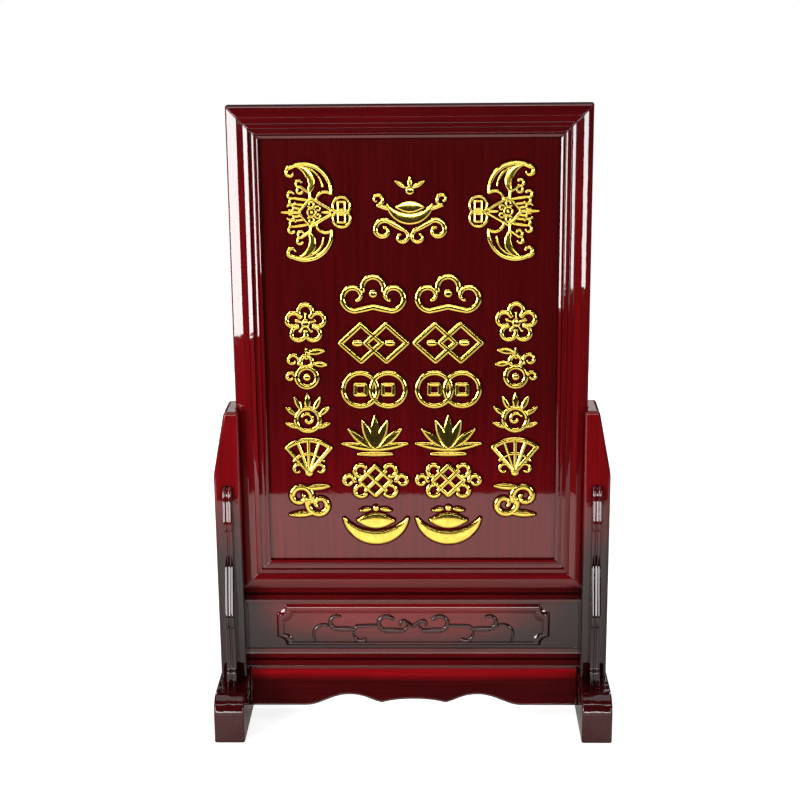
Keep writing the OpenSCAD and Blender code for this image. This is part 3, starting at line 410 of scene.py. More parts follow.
# Widths of strokes that come up often, at their start, middle and end, and the directions of five petals
THIN = (1.6, 1.6, 1.6)
SQUARE = (2.8, 2.8, 2.8)
BRANCH = (3.6, 4, 3.6)
FEATHER = (1.6, 2.8, 1.6)
SCROLL = (1.4, 2.8, 1.6)
PETALS = np.radians(np.arange(0, 360, 72))
MOTIFS = {
    "cloud": Motif(
        half=[Curl((-14, -0.8), (11, 3.2), (-88, -420), (3.6, 4.8, 2)),
              Curl((0, 6.2), (8, 8), (85, 196), (3.6, 4.4, 3.4)),
              Bar((-14, -11.8), (0, -8.6), (3.6, 4.4, 4))],
        whole=[Spot((0, 1.6), 6)]),
    "lozenges": Motif(
        half=[*bars(BRANCH, (-25, 0), (-9.5, 14.2), (6, 0), (-9.5, -14.2), (-25, 0)),
              Bar((-14, 0), (-10.5, 0), (4.4, 5.4, 4.4))]),
    "coins": Motif(
        half=[Ring((-10.5, 0), 13, 3.4),
              *bars(SQUARE, (-14.4, -3.9), (-14.4, 3.9), (-6.6, 3.9), (-6.6, -3.9), (-14.4, -3.9))]),
    "lotus": Motif(
        half=[Bar((-1.2, -9), (-9.4, 11.6), (3.4, 11, 1.4)), Bar((-4, -9.4), (-20, 5), (3.4, 9.6, 1.4)),
              Bar((-2, -10.4), (-25, -6.4), (4, 7.2, 1.2))],
        whole=[Bar((0, -9.4), (0, 15.4), (6, 12, 1.6)), Bar((-13, -14.8), (13, -14.8), (1.6, 4.8, 1.6))]),
    "knot": Motif(
        half=[Bar((-12, 0), (0, 12), (3, 3.2, 3)), Bar((-7.6, -7.6), (7.6, 7.6), (3, 3.2, 3)),
              Bar((-12, 0), (0, -12), (3, 3.2, 3)),
              Curl((-11.2, 8), (4.6, 4.6), (40, 268), (3, 3, 3)),
              Curl((-11.2, -8), (4.6, 4.6), (-40, -268), (3, 3, 3)),
              Curl((-20.6, 0), (4.6, 2.6), (0, 330), (3.2, 3.4, 2))]),
    "ingot": Motif(
        half=[Bar((-4.6, 13.4), (-11.6, 12.4), (1.8, 5, 1.2))],
        whole=[Curl((0, 17), (27, 27), (205, 335), (1.6, 20, 1.6)), Bar((-13, 4), (13, 4), (3, 22, 3)),
               Spot((0, 14), 4.4)]),
    "blossom": Motif(
        whole=[Curl(ray(turn, 9.4), (5.2, 5.2), np.degrees(turn) + (-48, 228), (3, 3.4, 3))
               for turn in PETALS]
              + [Bar(ray(turn, 3.6), ray(turn, 7.2), (1.6, 1.8, 2.4)) for turn in PETALS]
              + [Spot((0, 0), 6.4)]),
    "gourd": Motif(
        whole=[Ring((0, -6.6), 7.6, 3.6), Ring((0, 5.6), 4.4, 3), Spot((0, -6.6), 5.4),
               Bar((0, 8.4), (0, 15), (2.6, 3, 2)), Bar((1, 12.6), (13.6, 14), (1.8, 8, 1.4)),
               Bar((5.4, 4), (15, 3), (1.6, 7, 1.4)),
               Curl((-10.4, 6.6), (5, 2), (-30, 330), (2.4, 3, 1.4)),
               Curl((-12.4, -6.4), (3.6, 1.8), (20, 320), (2.2, 2.6, 1.4))]),
    "pearl": Motif(
        half=[Bar((-5, 3.6), (-9.6, 12.6), (2.4, 6.4, 1.2)), Bar((-9, -1), (-16.2, 4.6), (2.4, 6, 1.2)),
              Bar((-8.4, -11), (-16.4, -8), (2.4, 5.2, 1.2))],
        whole=[Ring((0, -5), 9, 3.2), Curl((0, -5), (5.2, 1.4), (150, -170), (1.8, 2.8, 1.6)),
               Bar((0, 4.6), (0, 15.4), (2.4, 7.4, 1.2))]),
    "fan": Motif(
        half=[Curl((0, -12.4), (26, 26), (88, 130), (3.4, 3.6, 3.2)),
              Bar((0, -12.4), (-16.4, 7.4), (2.8, 3, 3.2)), Bar((0, -12.4), (-8, 12), (1.8, 2.2, 2.4)),
              Curl((-8.4, -9.6), (4.4, 2), (40, 300), (2.2, 2.6, 1.4))],
        whole=[Bar((0, -12.4), (0, 13.4), (1.8, 2.2, 2.4)),
               Curl((0, -12.4), (15, 15), (40, 140), (2, 2.4, 2)), Spot((0, -12.4), 5.6)]),
    "scroll": Motif(
        whole=[Curl((-7.4, 3.2), (9.4, 2.6), (-22, 390), (4, 5, 2)),
               Curl((7.4, -3.2), (9.4, 2.6), (158, 570), (4, 5, 2)),
               Bar((-1.4, 10.4), (15.4, 11.6), (2.4, 7.4, 1.2)),
               Bar((1.4, -10.4), (-15.4, -11.6), (2.4, 7.4, 1.2))]),
    "bat": Motif(
        half=[Curl((-7, 15.4), (20, 20), (-4, 120), (2.6, 3.6, 3)),
              Curl((-16.2, 29.4), (4, 2), (92, 340), (3, 3.2, 1.4)),
              Curl((-13.6, 21.6), (12.4, 12.4), (-30, 80), (3, 9.6, 1.8)),
              Curl((-8, 18), (15, 15), (4, 84), (1.5, 1.8, 1.2)),
              Curl((8.6, 8.6), (6.5, 6.5), (60, 178), (2.4, 2.2, 2)),
              Bar((-3, 18), (-2.4, 9.6), (2.6, 2.4, 2.4)),
              Bar((-2.2, 10.6), (13.6, 1.4), (2, 2.2, 2)), Bar((-2.2, 10.6), (-11, 0), (2, 2.2, 2)),
              Bar((-3, 14.4), (-9.6, 18.9), (1.6, 2.6, 1.6)),
              Curl((-10.2, 21.4), (2.7, 1.9), (-60, -330), SCROLL),
              Curl((-9.4, 16.2), (2.7, 1.9), (110, 330), SCROLL),
              Bar((-5, 9.2), (-15, 10.6), FEATHER), Curl((-16.2, 13), (2.8, 2), (-60, -330), SCROLL),
              Curl((-15, 7.8), (2.9, 1.9), (110, 330), SCROLL), Bar((-7.6, 5.4), (-12.8, 6), (1.4, 2.4, 1.4)),
              Bar((-9, 2.4), (-14.6, 3.4), (1.4, 2.4, 1.4)),
              Curl((-16.8, 3.2), (2.6, 1.8), (150, -120), (1.4, 2.6, 1.4)),
              Curl((-1.8, 6), (2.7, 1.3), (-140, 190), (1.4, 1.8, 1.4)),
              Curl((3.4, 2.6), (2.2, 1), (160, -130), (1.3, 1.6, 1.3)),
              Bar((18, 1.2), (18, 7.6), THIN), Bar((23.2, 1.2), (23.2, 7.6), THIN),
              Bar((18, 7.6), (23.2, 7.6), THIN), Bar((12.6, 1.5), (15, 1.9), (2, 2, 2)),
              Ring((20.6, 4.7), 6.4, 2)],
        whole=[Bar((-10, 0), (-23.6, 0), (1.8, 3.4, 1.2)), Bar((6.6, 0), (12.4, 0), (1.4, 3.4, 1.4)),
               Bar((18, 0), (23.2, 0), THIN), Spot((-1.4, 0), 2.6), Ring((-1.4, 0), 3, 1.3)],
        axis=2),
    "crown": Motif(
        half=[Curl((-19.6, -13.6), (7.6, 2), (70, 440), (3.8, 4, 1.8)),
              Bar((-17, -6.6), (-4.4, -13.4), (3, 4.6, 3)),
              Curl((-6.4, -18.6), (5.8, 2), (86, -240), (3, 3.2, 1.6)),
              Curl((-24, 9.4), (4.6, 1.8), (-84, 240), (2.6, 3, 1.6)),
              Bar((-23.6, 4.8), (-13.6, 1.6), (2.4, 4, 2)), Bar((-3, 18), (-10.4, 22.4), (1.8, 5.4, 1.2))],
        whole=[Curl((0, 12.6), (18, 18), (204, 336), (1.6, 15, 1.6)),
               Bar((-9.4, 3.6), (9.4, 3.6), (2.6, 15, 2.6)),
               Bar((0, 18.6), (0, 25.4), (2.4, 6, 1.2)), Spot((0, 15.8), 6.4)]),
    "tendrils": Motif(
        half=[Curl((-69.8, -5.6), (9.2, 8.2), (214, 58), (1.4, 3.6, 1.8)),
              Curl((-59.8, 4.6), (5.9, 5.2), (62, 268), (1.4, 3.6, 4)),
              Bar((-60.1, -0.7), (-48.6, -0.9), (4, 5.4, 3.6)),
              Curl((-48.6, 3.4), (4.3, 4.9), (266, 346), (3.6, 3.4, 1.6)),
              Curl((-40.8, -4.6), (6.6, 6), (166, 288), (1.4, 2.8, 4.2)),
              Bar((-45, 1.8), (-27.2, 2.3), (1.8, 3.2, 2)),
              Curl((-21.2, 3.6), (6.4, 5.6), (40, 262), (3.4, 3, 4)),
              Bar((-22, -2), (-10.4, -2.3), (4, 5.6, 3.6)),
              Curl((-10.2, 2.3), (4.6, 5.4), (266, 352), (3.6, 3.2, 1.6)),
              Curl((-7.4, 3.4), (2.9, 2.7), (205, 52), (1.8, 3.4, 2.4)),
              Bar((-5.8, 5.6), (0, 1.4), (2.4, 3, 2.6))]),
}


def gilt_nodes():
    """Each gilt node with the name of its motif, and whether it is the mirror image."""
    found = [("crown_emblem", "crown", False), ("bat_left", "bat", False), ("bat_right", "bat", True)]
    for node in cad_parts:
        place = node.split("_")
        if place[0] in ("inner", "outer"):
            found.append((node, place[2], place[1] == "right"))
    return found


def laid_on(shells, node, motif_box, base):
    """Shells of a motif brought from its own millimetres to its CAD node's place on the panel."""
    low, high = corners(node)
    centre = (low + high) / 2
    middle = (motif_box[0] + motif_box[1]) / 2
    size = (high - low)[0] / (motif_box[1] - motif_box[0])[0]
    laid = []
    for points, quads, caps in shells:
        moved = np.stack([centre[0] + (points[:, 0] - middle[0]) * size, base - points[:, 1] * MM,
                          centre[2] + (points[:, 2] - middle[2]) * size], -1)
        laid.append((moved, quads, caps))
    return laid


def box_of(shells):
    """Lowest and highest corner of some shells."""
    points = np.concatenate([points for points, _, _ in shells])
    return points.min(0), points.max(0)


# Materials

def add(tree, kind, inputs=(), **settings):
    """Adds a shader node, sets its properties, and sets its inputs, given by name or number, or links them
    to a socket or to the first output in use of a node."""
    node = tree.nodes.new("ShaderNode" + kind)
    for key, value in settings.items():
        setattr(node, key, value)
    for key, value in dict(inputs).items():
        if isinstance(value, bpy.types.Node):
            value = next(socket for socket in value.outputs if socket.enabled)
        if isinstance(value, bpy.types.NodeSocket):
            tree.links.new(value, node.inputs[key])
        else:
            node.inputs[key].default_value = value
    return node


def new_material(name):
    """An empty material, its node tree and the coordinates for its patterns."""
    material = bpy.data.materials.new(name)
    material.use_nodes = True
    material.node_tree.nodes.clear()
    place = add(material.node_tree, "TexCoord").outputs["Object"]
    return material, material.node_tree, place


def pool(tree, place, middle, reach):
    """A value that is one at the middle and falls evenly to zero at the end of its reach."""
    middle, reach = np.array(middle), np.array(reach)
    span = add(tree, "Mapping", {"Vector": place, "Location": -middle / reach, "Scale": 1 / reach})
    return add(tree, "TexGradient", {"Vector": span}, gradient_type="SPHERICAL").outputs["Fac"]


def sprayed_lacquer(name, light, dark, grain, painted_light, streak=0.35, spacing=2.0, peel=1.0):
    """Stained hardwood under a thick clear lacquer: a faint grain lies deep under a mirror-like coat
    whose slight ripple bends reflections, and painted shade darkens the corners. The colour is light
    at the middle of a pool of painted light and shades to dark at the end of its reach, both in millimetres."""
    material, tree, place = new_material(name)
    # The colour shades from light to dark by a pool of painted light, made uneven by clouds of about 60 mm
    clouds = add(tree, "TexNoise", {"Vector": place, "Scale": 1 / (60 * MM), "Detail": 2.0})
    glow = pool(tree, place, *(np.array(painted_light) * MM))
    cloudy = add(tree, "Math", {0: clouds, 1: 0.35, 2: glow}, operation="MULTIPLY_ADD")
    blend = add(tree, "MapRange", {"Value": cloudy, "From Min": 0.2, "From Max": 0.8},
                interpolation_type="SMOOTHSTEP")
    stain_and_shade = add(tree, "Mix", {"Factor": blend, 6: (*dark, 1), 7: (*light, 1)}, data_type="RGBA")
    # Grain lines 90 mm long along the piece, at a spacing in millimetres
    fine = [1 / (spacing * MM)] * 3
    fine[grain] = 1 / (90 * MM)
    lines = add(tree, "Mapping", {"Vector": place, "Scale": fine})
    fibres = add(tree, "TexNoise", {"Vector": lines, "Scale": 1.0, "Detail": 4.0, "Roughness": 0.6})
    fibre = add(tree, "MapRange", {"Value": fibres, "From Min": 0.3, "From Max": 0.65,
                                   "To Min": 1 - streak, "To Max": 1.0})
    # Painted shade darkens the colour within about 3 mm of inner corners
    hollow = add(tree, "AmbientOcclusion", {"Distance": 3 * MM}, samples=8).outputs["AO"]
    depth = add(tree, "MapRange", {"Value": hollow, "From Min": 0.35, "From Max": 0.95,
                                   "To Min": 0.35, "To Max": 1.0})
    value = add(tree, "Math", {0: fibre, 1: depth}, operation="MULTIPLY")
    shade = add(tree, "Mix", {"Factor": 1.0, 6: stain_and_shade, 7: value}, data_type="RGBA", blend_type="MULTIPLY")
    # The coat ripples over about 7 mm, from spraying, on waves of 30 mm, from sanding
    ripple = add(tree, "TexNoise", {"Vector": place, "Scale": 1 / (7 * MM), "Detail": 1.5})
    wave = add(tree, "TexNoise", {"Vector": place, "Scale": 1 / (30 * MM), "Detail": 1.0})
    skin = add(tree, "Math", {0: wave, 1: 4.0, 2: ripple}, operation="MULTIPLY_ADD")
    bump = add(tree, "Bump", {"Height": skin, "Strength": 1.0, "Distance": 0.03 * MM * peel})
    shader = add(tree, "BsdfPrincipled", {
        "Base Color": shade, "Roughness": 0.5, "Specular IOR Level": 0.0, "Normal": bump,
        "Coat Weight": 1.0, "Coat Roughness": 0.03, "Coat IOR": 1.58, "Coat Normal": bump})
    add(tree, "OutputMaterial", {"Surface": shader})
    return material


def burnished_gilt(colours):
    """Gold leaf burnished on a smooth ground, under a clear lacquer: a warm mirror with soft hand-rubbed
    unevenness, and white glints on top."""
    material, tree, place = new_material("Burnished gilt")
    # Leaf wears thin in patches of about 5 mm
    thin = add(tree, "TexNoise", {"Vector": place, "Scale": 1 / (5 * MM), "Detail": 3.0})
    patch = add(tree, "MapRange", {"Value": thin, "From Min": 0.35, "From Max": 0.7})
    gold = add(tree, "Mix", {"Factor": patch, 6: (*colours.gilt, 1), 7: (*colours.gilt_deep, 1)},
               data_type="RGBA")
    rub = add(tree, "MapRange", {"Value": thin, "From Min": 0.3, "From Max": 0.75,
                                 "To Min": 0.07, "To Max": 0.13})
    # Rubbing marks about 1.5 mm across
    marks = add(tree, "TexNoise", {"Vector": place, "Scale": 1 / (1.5 * MM), "Detail": 2.0})
    bump = add(tree, "Bump", {"Height": marks, "Strength": 1.0, "Distance": 0.02 * MM})
    shader = add(tree, "BsdfPrincipled", {
        "Base Color": gold, "Metallic": 1.0, "Roughness": rub, "Normal": bump,
        "Coat Weight": 1.0, "Coat Roughness": 0.05, "Coat IOR": 1.5, "Coat Normal": bump})
    add(tree, "OutputMaterial", {"Surface": shader})
    return material


def outline_shade_lacquer(colours):
    """Lacquer pooled where no polishing pad reaches: the panel's dark red without its mirror, darkened
    further as painted shade, so that a soft dark line outlines the relief."""
    material, tree, place = new_material("Dark red lacquer with painted outline shade")
    # The painted shade is darker than the panel's lacquer, and varies in pools over about 4 mm
    pools = add(tree, "TexNoise", {"Vector": place, "Scale": 1 / (4 * MM), "Detail": 2.0})
    light, dark = (tuple(share * c for c in colours.panel_dark) for share in (0.8, 0.45))
    tone = add(tree, "Mix", {"Factor": pools, 6: (*dark, 1), 7: (*light, 1)}, data_type="RGBA")
    shader = add(tree, "BsdfPrincipled", {"Base Color": tone, "Roughness": 0.6, "Specular IOR Level": 0.0})
    add(tree, "OutputMaterial", {"Surface": shader})
    return material


def bare_wood(colours):
    """Planed softwood, unfinished: pale, dull and streaked along the grain."""
    material, tree, place = new_material("Bare planed wood")
    # Growth rings 1.2 mm apart and 20 mm long
    lines = add(tree, "Mapping", {"Vector": place,
                                  "Scale": (1 / (1.2 * MM), 1 / (1.2 * MM), 1 / (20 * MM))})
    rings = add(tree, "TexNoise", {"Vector": lines, "Scale": 1.0, "Detail": 3.0})
    dark = tuple(0.55 * c for c in colours.wood)
    stain_and_shade = add(tree, "Mix", {"Factor": rings, 6: (*dark, 1), 7: (*colours.wood, 1)}, data_type="RGBA")
    shader = add(tree, "BsdfPrincipled", {"Base Color": stain_and_shade, "Roughness": 0.7})
    add(tree, "OutputMaterial", {"Surface": shader})
    return material


def turned_brass(colours):
    """Turned brass, slightly tarnished: a soft metal shine, dulled in spots."""
    material, tree, place = new_material("Turned brass")
    # Tarnish in spots of about 0.8 mm
    spots = add(tree, "TexNoise", {"Vector": place, "Scale": 1 / (0.8 * MM), "Detail": 3.0})
    dull = tuple(0.55 * c for c in colours.brass)
    tone = add(tree, "Mix", {"Factor": spots, 6: (*colours.brass, 1), 7: (*dull, 1)}, data_type="RGBA")
    rough = add(tree, "MapRange", {"Value": spots, "To Min": 0.2, "To Max": 0.45})
    shader = add(tree, "BsdfPrincipled", {"Base Color": tone, "Metallic": 1.0, "Roughness": rough})
    add(tree, "OutputMaterial", {"Surface": shader})
    return material


# Middle and reach in millimetres of the painted light on each part of the stand, which shades to dark
# around it, and how much of the light colour is there and around it. A reach of FAR leaves that direction
# out.
FAR = 9000
PAINTED_LIGHT_POOLS = {
    "post": ((0, 0, 245), (FAR, FAR, 120), 0.75, 0),
    "foot": ((0, 0, 14), (FAR, FAR, 40), 0.12, 0),
    "spandrel": ((0, 0, 190), (FAR, FAR, 60), 0.35, 0),
    "rail": ((-10, 0, 70), (190, FAR, FAR), 0.34, 0.04),
    "carving": ((-10, 0, 92), (150, FAR, 42), 0.7, 0),
    "tendrils": ((-10, 0, 80), (120, FAR, 60), 0.12, 0),
    "apron": ((0, 0, 40.5), (300, FAR, 12), 1.15, 0.17),
}


def frame_lacquer(colours, grain):
    """The lacquer of the tablet's frame, with its grain along an axis, and painted shade that makes it
    darkest at the top.
    """
    return sprayed_lacquer("Red lacquer, grain along " + "XYZ"[grain], colours.lacquer, colours.lacquer_dark,
                           grain, ((0, 0, 270), (FAR, FAR, 258)))


def stand_lacquer(colours, part, grain, peel=1.0):
    """The lacquer of one part of the stand, with painted light and shade, and its grain along an axis."""
    middle, reach, *shares = PAINTED_LIGHT_POOLS[part]
    lightest, darkest = np.array(colours.stand), np.array(colours.stand_dark)
    light, dark = (tuple(darkest + share * (lightest - darkest)) for share in shares)
    return sprayed_lacquer("Shaded lacquer, " + part, light, dark, grain, (middle, reach), peel=peel)


def panel_lacquer(colours):
    """The darker lacquer of the panel and the back board, with upright grain, and painted light that makes it
    lightest at the foot.
    """
    return sprayed_lacquer("Dark red lacquer, upright grain", colours.panel, colours.panel_dark, Z,
                           ((0, 0, 90), (400, FAR, 200)), streak=0.42, spacing=3.4, peel=0.35)


# The tablet

def run(start, width, lean, last_lean, steps):
    """Points after the start of a run whose lean changes evenly: the height is the sum of its slopes."""
    middles = (np.arange(steps) + 0.5) / steps
    rise = np.cumsum(np.tan(lean + (last_lean - lean) * middles)) * width / steps
    return np.asarray(start) + np.column_stack([width * np.arange(1, steps + 1) / steps, rise])


def moulding_section(s):
    """Section of a frame member as distances from the outer edge and forward from it: a rounded
    arris, a broad slope up to a crest, a band that falls inward, a leaning bead, a groove with a
    small bead and a lip that leans inward, then the rebates for the panel and the back board."""
    arris = arc((s.arris_r, -s.arris_r), s.arris_r, 180, 90 + math.degrees(s.outer_lean), 6)
    slope = run(arris[-1], s.slope_w, s.outer_lean, s.slope_lean, 16)
    crest = run(slope[-1], s.crest_w, s.slope_lean, -s.fall_lean, 6)
    fall = run(crest[-1], s.fall_w, -s.fall_lean, -s.fall_lean, 4)
    foot = run((fall[-1, 0], s.bead_v), s.bead_foot, s.bead_lean, s.outer_lean, 4)
    bead = run(foot[-1], s.bead_w - s.bead_foot, s.bead_face, s.bead_top, 12)
    roll = run(bead[-1], s.bead_roll, s.bead_top, -3 * s.bead_top, 6)
    lip_u = s.moulding_w - s.lip_w
    small_u = lip_u - s.quirk_w - s.small_w
    small = run((small_u, s.small_v), s.small_w * 0.8, s.bead_face, s.bead_top, 8)
    small_roll = run(small[-1], s.small_w * 0.2, s.bead_top, -3 * s.bead_top, 4)
    lip = run((lip_u, s.lip_v), s.lip_w, -s.lip_lean, -s.sight_lean, 8)
    rebate, board = s.moulding_w - s.panel_step, s.moulding_w - s.board_step
    behind = -s.panel_set - s.panel_t
    return np.concatenate([
        [[0, -s.depth]], arris, slope, crest, fall, [[fall[-1, 0], s.bead_v]], foot, bead, roll,
        [[roll[-1, 0], s.groove_v], [small_u, s.groove_v], [small_u, s.small_v]], small, small_roll,
        [[small_roll[-1, 0], s.groove_v], [lip_u, s.groove_v], [lip_u, s.lip_v]], lip,
        [[s.moulding_w, -s.panel_set], [rebate, -s.panel_set], [rebate, behind], [board, behind],
         [board, -s.depth]]])


class MouldedFrame(bpy.types.Operator):
    """Builds the four mitred members of the tablet's frame"""
    bl_idname = "tablet.moulded_frame"
    bl_label = "Moulded frame"

    def execute(self, context):
        s = context.scene.tablet_frame
        section = moulding_section(s)
        low, high = corners("frame_left_stile")
        edge_y = high[Y] - s.depth
        half_w = -low[X]
        # The section is carried from mitre to mitre, and sinks a little at the eased edge of each. The outer
        # corners are in order round the frame, each with its inward diagonal.
        outer = np.array([[-half_w, low[Z]], [-half_w, high[Z]], [half_w, high[Z]], [half_w, low[Z]]])
        inward = np.array([[1, 1], [1, -1], [-1, -1], [-1, 1]])
        colours = context.scene.tablet_finishes
        lacquers = {"stile": frame_lacquer(colours, Z), "rail": frame_lacquer(colours, X)}
        for i, place in enumerate(("left_stile", "top_rail", "right_stile", "bottom_rail")):
            j = (i + 1) % 4
            along = np.sign(outer[j] - outer[i])
            ends = []
            for corner, shift, sink in ((i, s.mitre_gap, s.mitre_d), (i, s.mitre_gap + s.mitre_w, 0),
                                        (j, -s.mitre_gap - s.mitre_w, 0), (j, -s.mitre_gap, s.mitre_d)):
                flat = outer[corner] + section[:, :1] * inward[corner] + shift * along
                front = section[:, 1] - sink * (section[:, 1] > -s.panel_set / 2)
                ends.append(np.stack([flat[:, 0], edge_y - front, flat[:, 1]], -1))
            node = "frame_" + place
            material = lacquers[place.split("_")[1]]
            make_piece("moulded_" + node, [tube(np.stack(ends))], material, "tablet", "lacquer", node)
        return {"FINISHED"}


class Boards(bpy.types.Operator):
    """Gives the panel, the back board and the hidden joinery their finishes"""
    bl_idname = "tablet.boards"
    bl_label = "Boards and joinery"

    def execute(self, context):
        colours = context.scene.tablet_finishes
        lacquer, wood = panel_lacquer(colours), bare_wood(colours)
        for node, material in (("tablet_panel", lacquer), ("back_board", lacquer),
                               ("mitre_tongues", wood), ("spandrel_dowels", wood)):
            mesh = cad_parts[node].data
            mesh.materials.clear()
            mesh.materials.append(material)
        return {"FINISHED"}


class Screws(bpy.types.Operator):
    """Builds the back board's screws with domed, slotted heads"""
    bl_idname = "tablet.screws"
    bl_label = "Screws"

    def execute(self, context):
        high = corners("back_board_screws")[1]
        head_r, head_h, slot_w, slot_d = 2.5 * MM, 1.2 * MM, 0.5 * MM, 0.6 * MM
        # The dome is part of an ellipse, and ends in an upright side
        radii = np.concatenate([np.linspace(0, 0.96, 28), [1.0, 1.0]]) * head_r
        dome = head_h * np.sqrt(1 - 0.55 * (radii / head_r) ** 2)
        dome[-1] = 0
        turn = np.linspace(0, 2 * math.pi, 96, endpoint=False)[:, None]
        cut = np.abs(radii * np.sin(turn)) < slot_w / 2
        rise = np.where(cut, np.minimum(dome, head_h - slot_d), dome)
        # Each cluster of the CAD heads' outermost points is one screw
        points = np.array([v.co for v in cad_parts["back_board_screws"].data.vertices])
        heads = points[points[:, Y] > high[Y] - 1e-6][:, (X, Z)]
        cells = np.round(heads / (6 * head_r)).astype(int)
        shells = []
        for cell in np.unique(cells, axis=0):
            near = heads[(cells == cell).all(1)]
            slot_turn = 2.4 * len(shells)
            flat = radii[:, None] * circle(turn + slot_turn) + (near.min(0) + near.max(0)) / 2
            shells.append(welded(grid(raised(flat, high[Y] - head_h + rise), wrap_rows=True)))
        make_piece("back_board_screw_heads", shells, turned_brass(context.scene.tablet_finishes), "tablet",
                   "screw_brass", "back_board_screws")
        return {"FINISHED"}


def relief_profile(s, top):
    """Insets and heights across a gilt stroke: an upright wall, and a bevel whose slope falls evenly."""
    t = np.linspace(0, 1, 7)
    foot, head = math.tan(s.bevel_foot), math.tan(s.bevel_top)
    rise = s.bevel * (foot * t + (head - foot) * t ** 2 / 2)
    return np.concatenate([[0], s.bevel * t]) / MM, np.concatenate([[0], top - rise[-1] + rise]) / MM


def fillet_profile(s):
    """Insets and heights of the lacquer round a stroke: a hollow that climbs to the relief's side."""
    t = np.linspace(0, 1, 4)
    edge = 0.02 * MM
    return s.fillet_w * (t - 1) / MM, (edge + s.fillet_h * t ** 2.2) / MM


class GiltRelief(bpy.types.Operator):
    """Builds the gilt motifs on the panel, and the lacquer that gathers round them"""
    bl_idname = "tablet.gilt_relief"
    bl_label = "Gilt relief"

    def execute(self, context):
        s = context.scene.tablet_relief
        colours = context.scene.tablet_finishes
        panel_y = corners("tablet_panel")[0][Y]
        gilt = burnished_gilt(colours)
        ridge = math.tan(s.ridge), s.ridge_h / MM
        fillets = []
        for node, kind, turned in gilt_nodes():
            top = panel_y - corners(node)[0][Y]
            shells = motif_shells(MOTIFS[kind], relief_profile(s, top), ridge)
            skirts = motif_shells(MOTIFS[kind], fillet_profile(s))
            if turned:
                shells, skirts = ([mirror(shell, X) for shell in part] for part in (shells, skirts))
            box = box_of(shells)
            make_piece("gilt_" + node, laid_on(shells, node, box, panel_y), gilt, "tablet", "gilt", node)
            fillets += laid_on(skirts, node, box, panel_y)
        make_piece("relief_lacquer_fillets", fillets, outline_shade_lacquer(colours), "tablet", "panel_lacquer")
        return {"FINISHED"}


# The stand

def stand_pieces(prefix, shell, material, nodes):
    """One piece for each of some like nodes of the stand: the shell, mirrored across that node's axes."""
    for node, axes in nodes.items():
        turned = shell
        for axis in axes:
            turned = mirror(turned, axis)
        make_piece(prefix + node, [turned], material, "stand", "lacquer", node)


class Posts(bpy.types.Operator):
    """Builds the two posts, with rounded arrises, a tapered top and a groove for the tablet"""
    bl_idname = "tablet.posts"
    bl_label = "Posts"

    def execute(self, context):
        s = context.scene.tablet_stand
        low, high = corners("right_post")
        groove_z = corners("frame_left_stile")[0][Z]
        foot_z = corners("right_foot")[1][Z]
        shoulder_z = high[Z] - s.taper_h
        # Outlines from the foot up, by height, depth of the groove and inset: under the groove, along it,
        # round the bend into the taper and over the rounded top
        levels = [(foot_z, 0, 0), (groove_z, 0, 0), (groove_z, s.groove_d, 0)]
        levels += [(shoulder_z + share * TAPER_BEND, s.groove_d, 0) for share in (-1.5, -0.5, 0.5, 1.5)]
        for turn in np.radians(np.linspace(0, 90, QUARTER_STEPS + 1)):
            drop, inset = s.top_r * (1 - math.sin(turn)), s.top_r * (1 - math.cos(turn))
            levels.append((high[Z] - drop, s.groove_d, inset))
        post = tube(np.stack([self.ring(s, low, high, *level) for level in levels]))
        stand_pieces("rounded_", post, stand_lacquer(context.scene.tablet_finishes, "post", Z),
                     {"right_post": (), "left_post": (X,)})
        return {"FINISHED"}

    def ring(self, s, low, high, z, groove, inset):
        """Outline of a post at one height: a rectangle with rounded corners, and a groove in its inner
        face. The outer face bends into the taper."""
        over = z - (high[Z] - s.taper_h)
        under = np.clip(over / TAPER_BEND + 0.5, 0, 1)
        along = over if over > TAPER_BEND / 2 else TAPER_BEND / 4 * under ** 2
        x0, x1, y1 = low[X] + inset, high[X] - s.taper_in * along / s.taper_h - inset, high[Y] - inset
        r = max(s.arris_r - inset, 0.3 * MM)
        g = s.groove_r
        floor = max(x0, low[X] + groove)
        lip = min(g, max(floor - x0, 0) / 2)
        front, back = -s.groove_front, s.groove_back
        outline = np.concatenate([
            *(arc((x, y), r, start, start + 90, QUARTER_STEPS) for x, y, start in (
                (x0 + r, -y1 + r, 180), (x1 - r, -y1 + r, 270), (x1 - r, y1 - r, 0), (x0 + r, y1 - r, 90))),
            [[x0, back + g], [x0 + lip * 0.3, back + g * 0.3], [x0 + lip, back], [floor, back],
             [floor, front], [x0 + lip, front], [x0 + lip * 0.3, front - g * 0.3], [x0, front - g]]])
        return np.column_stack([outline, np.full(len(outline), z)])


def spandrel_edge(reach, height):
    """Edge of a standing spandrel as how far it stands out and how high it is: a shoulder, a long
    hanging lobe and a toe meet at two cusps."""
    return (reach, height) * chain(
        (0, 1),
        ((0.2, 1), (0.26, 0.965), (0.29, 0.93), 12),
        ((0.35, 0.897), (0.42, 0.858), (0.48, 0.825), 10),
        ((0.5, 0.79), (0.42, 0.775), (0.31, 0.775), 10),
        ((0.31, 0.7), (0.33, 0.64), (0.38, 0.6), 12),
        ((0.56, 0.52), (0.74, 0.44), (0.92, 0.365), 18),
        ((0.98, 0.335), (0.95, 0.295), (0.8, 0.295), 12),
        ((0.72, 0.2), (0.74, 0.075), (0.84, 0.075), 18),
        ((0.95, 0.075), (1, 0.06), (1, 0), 10))


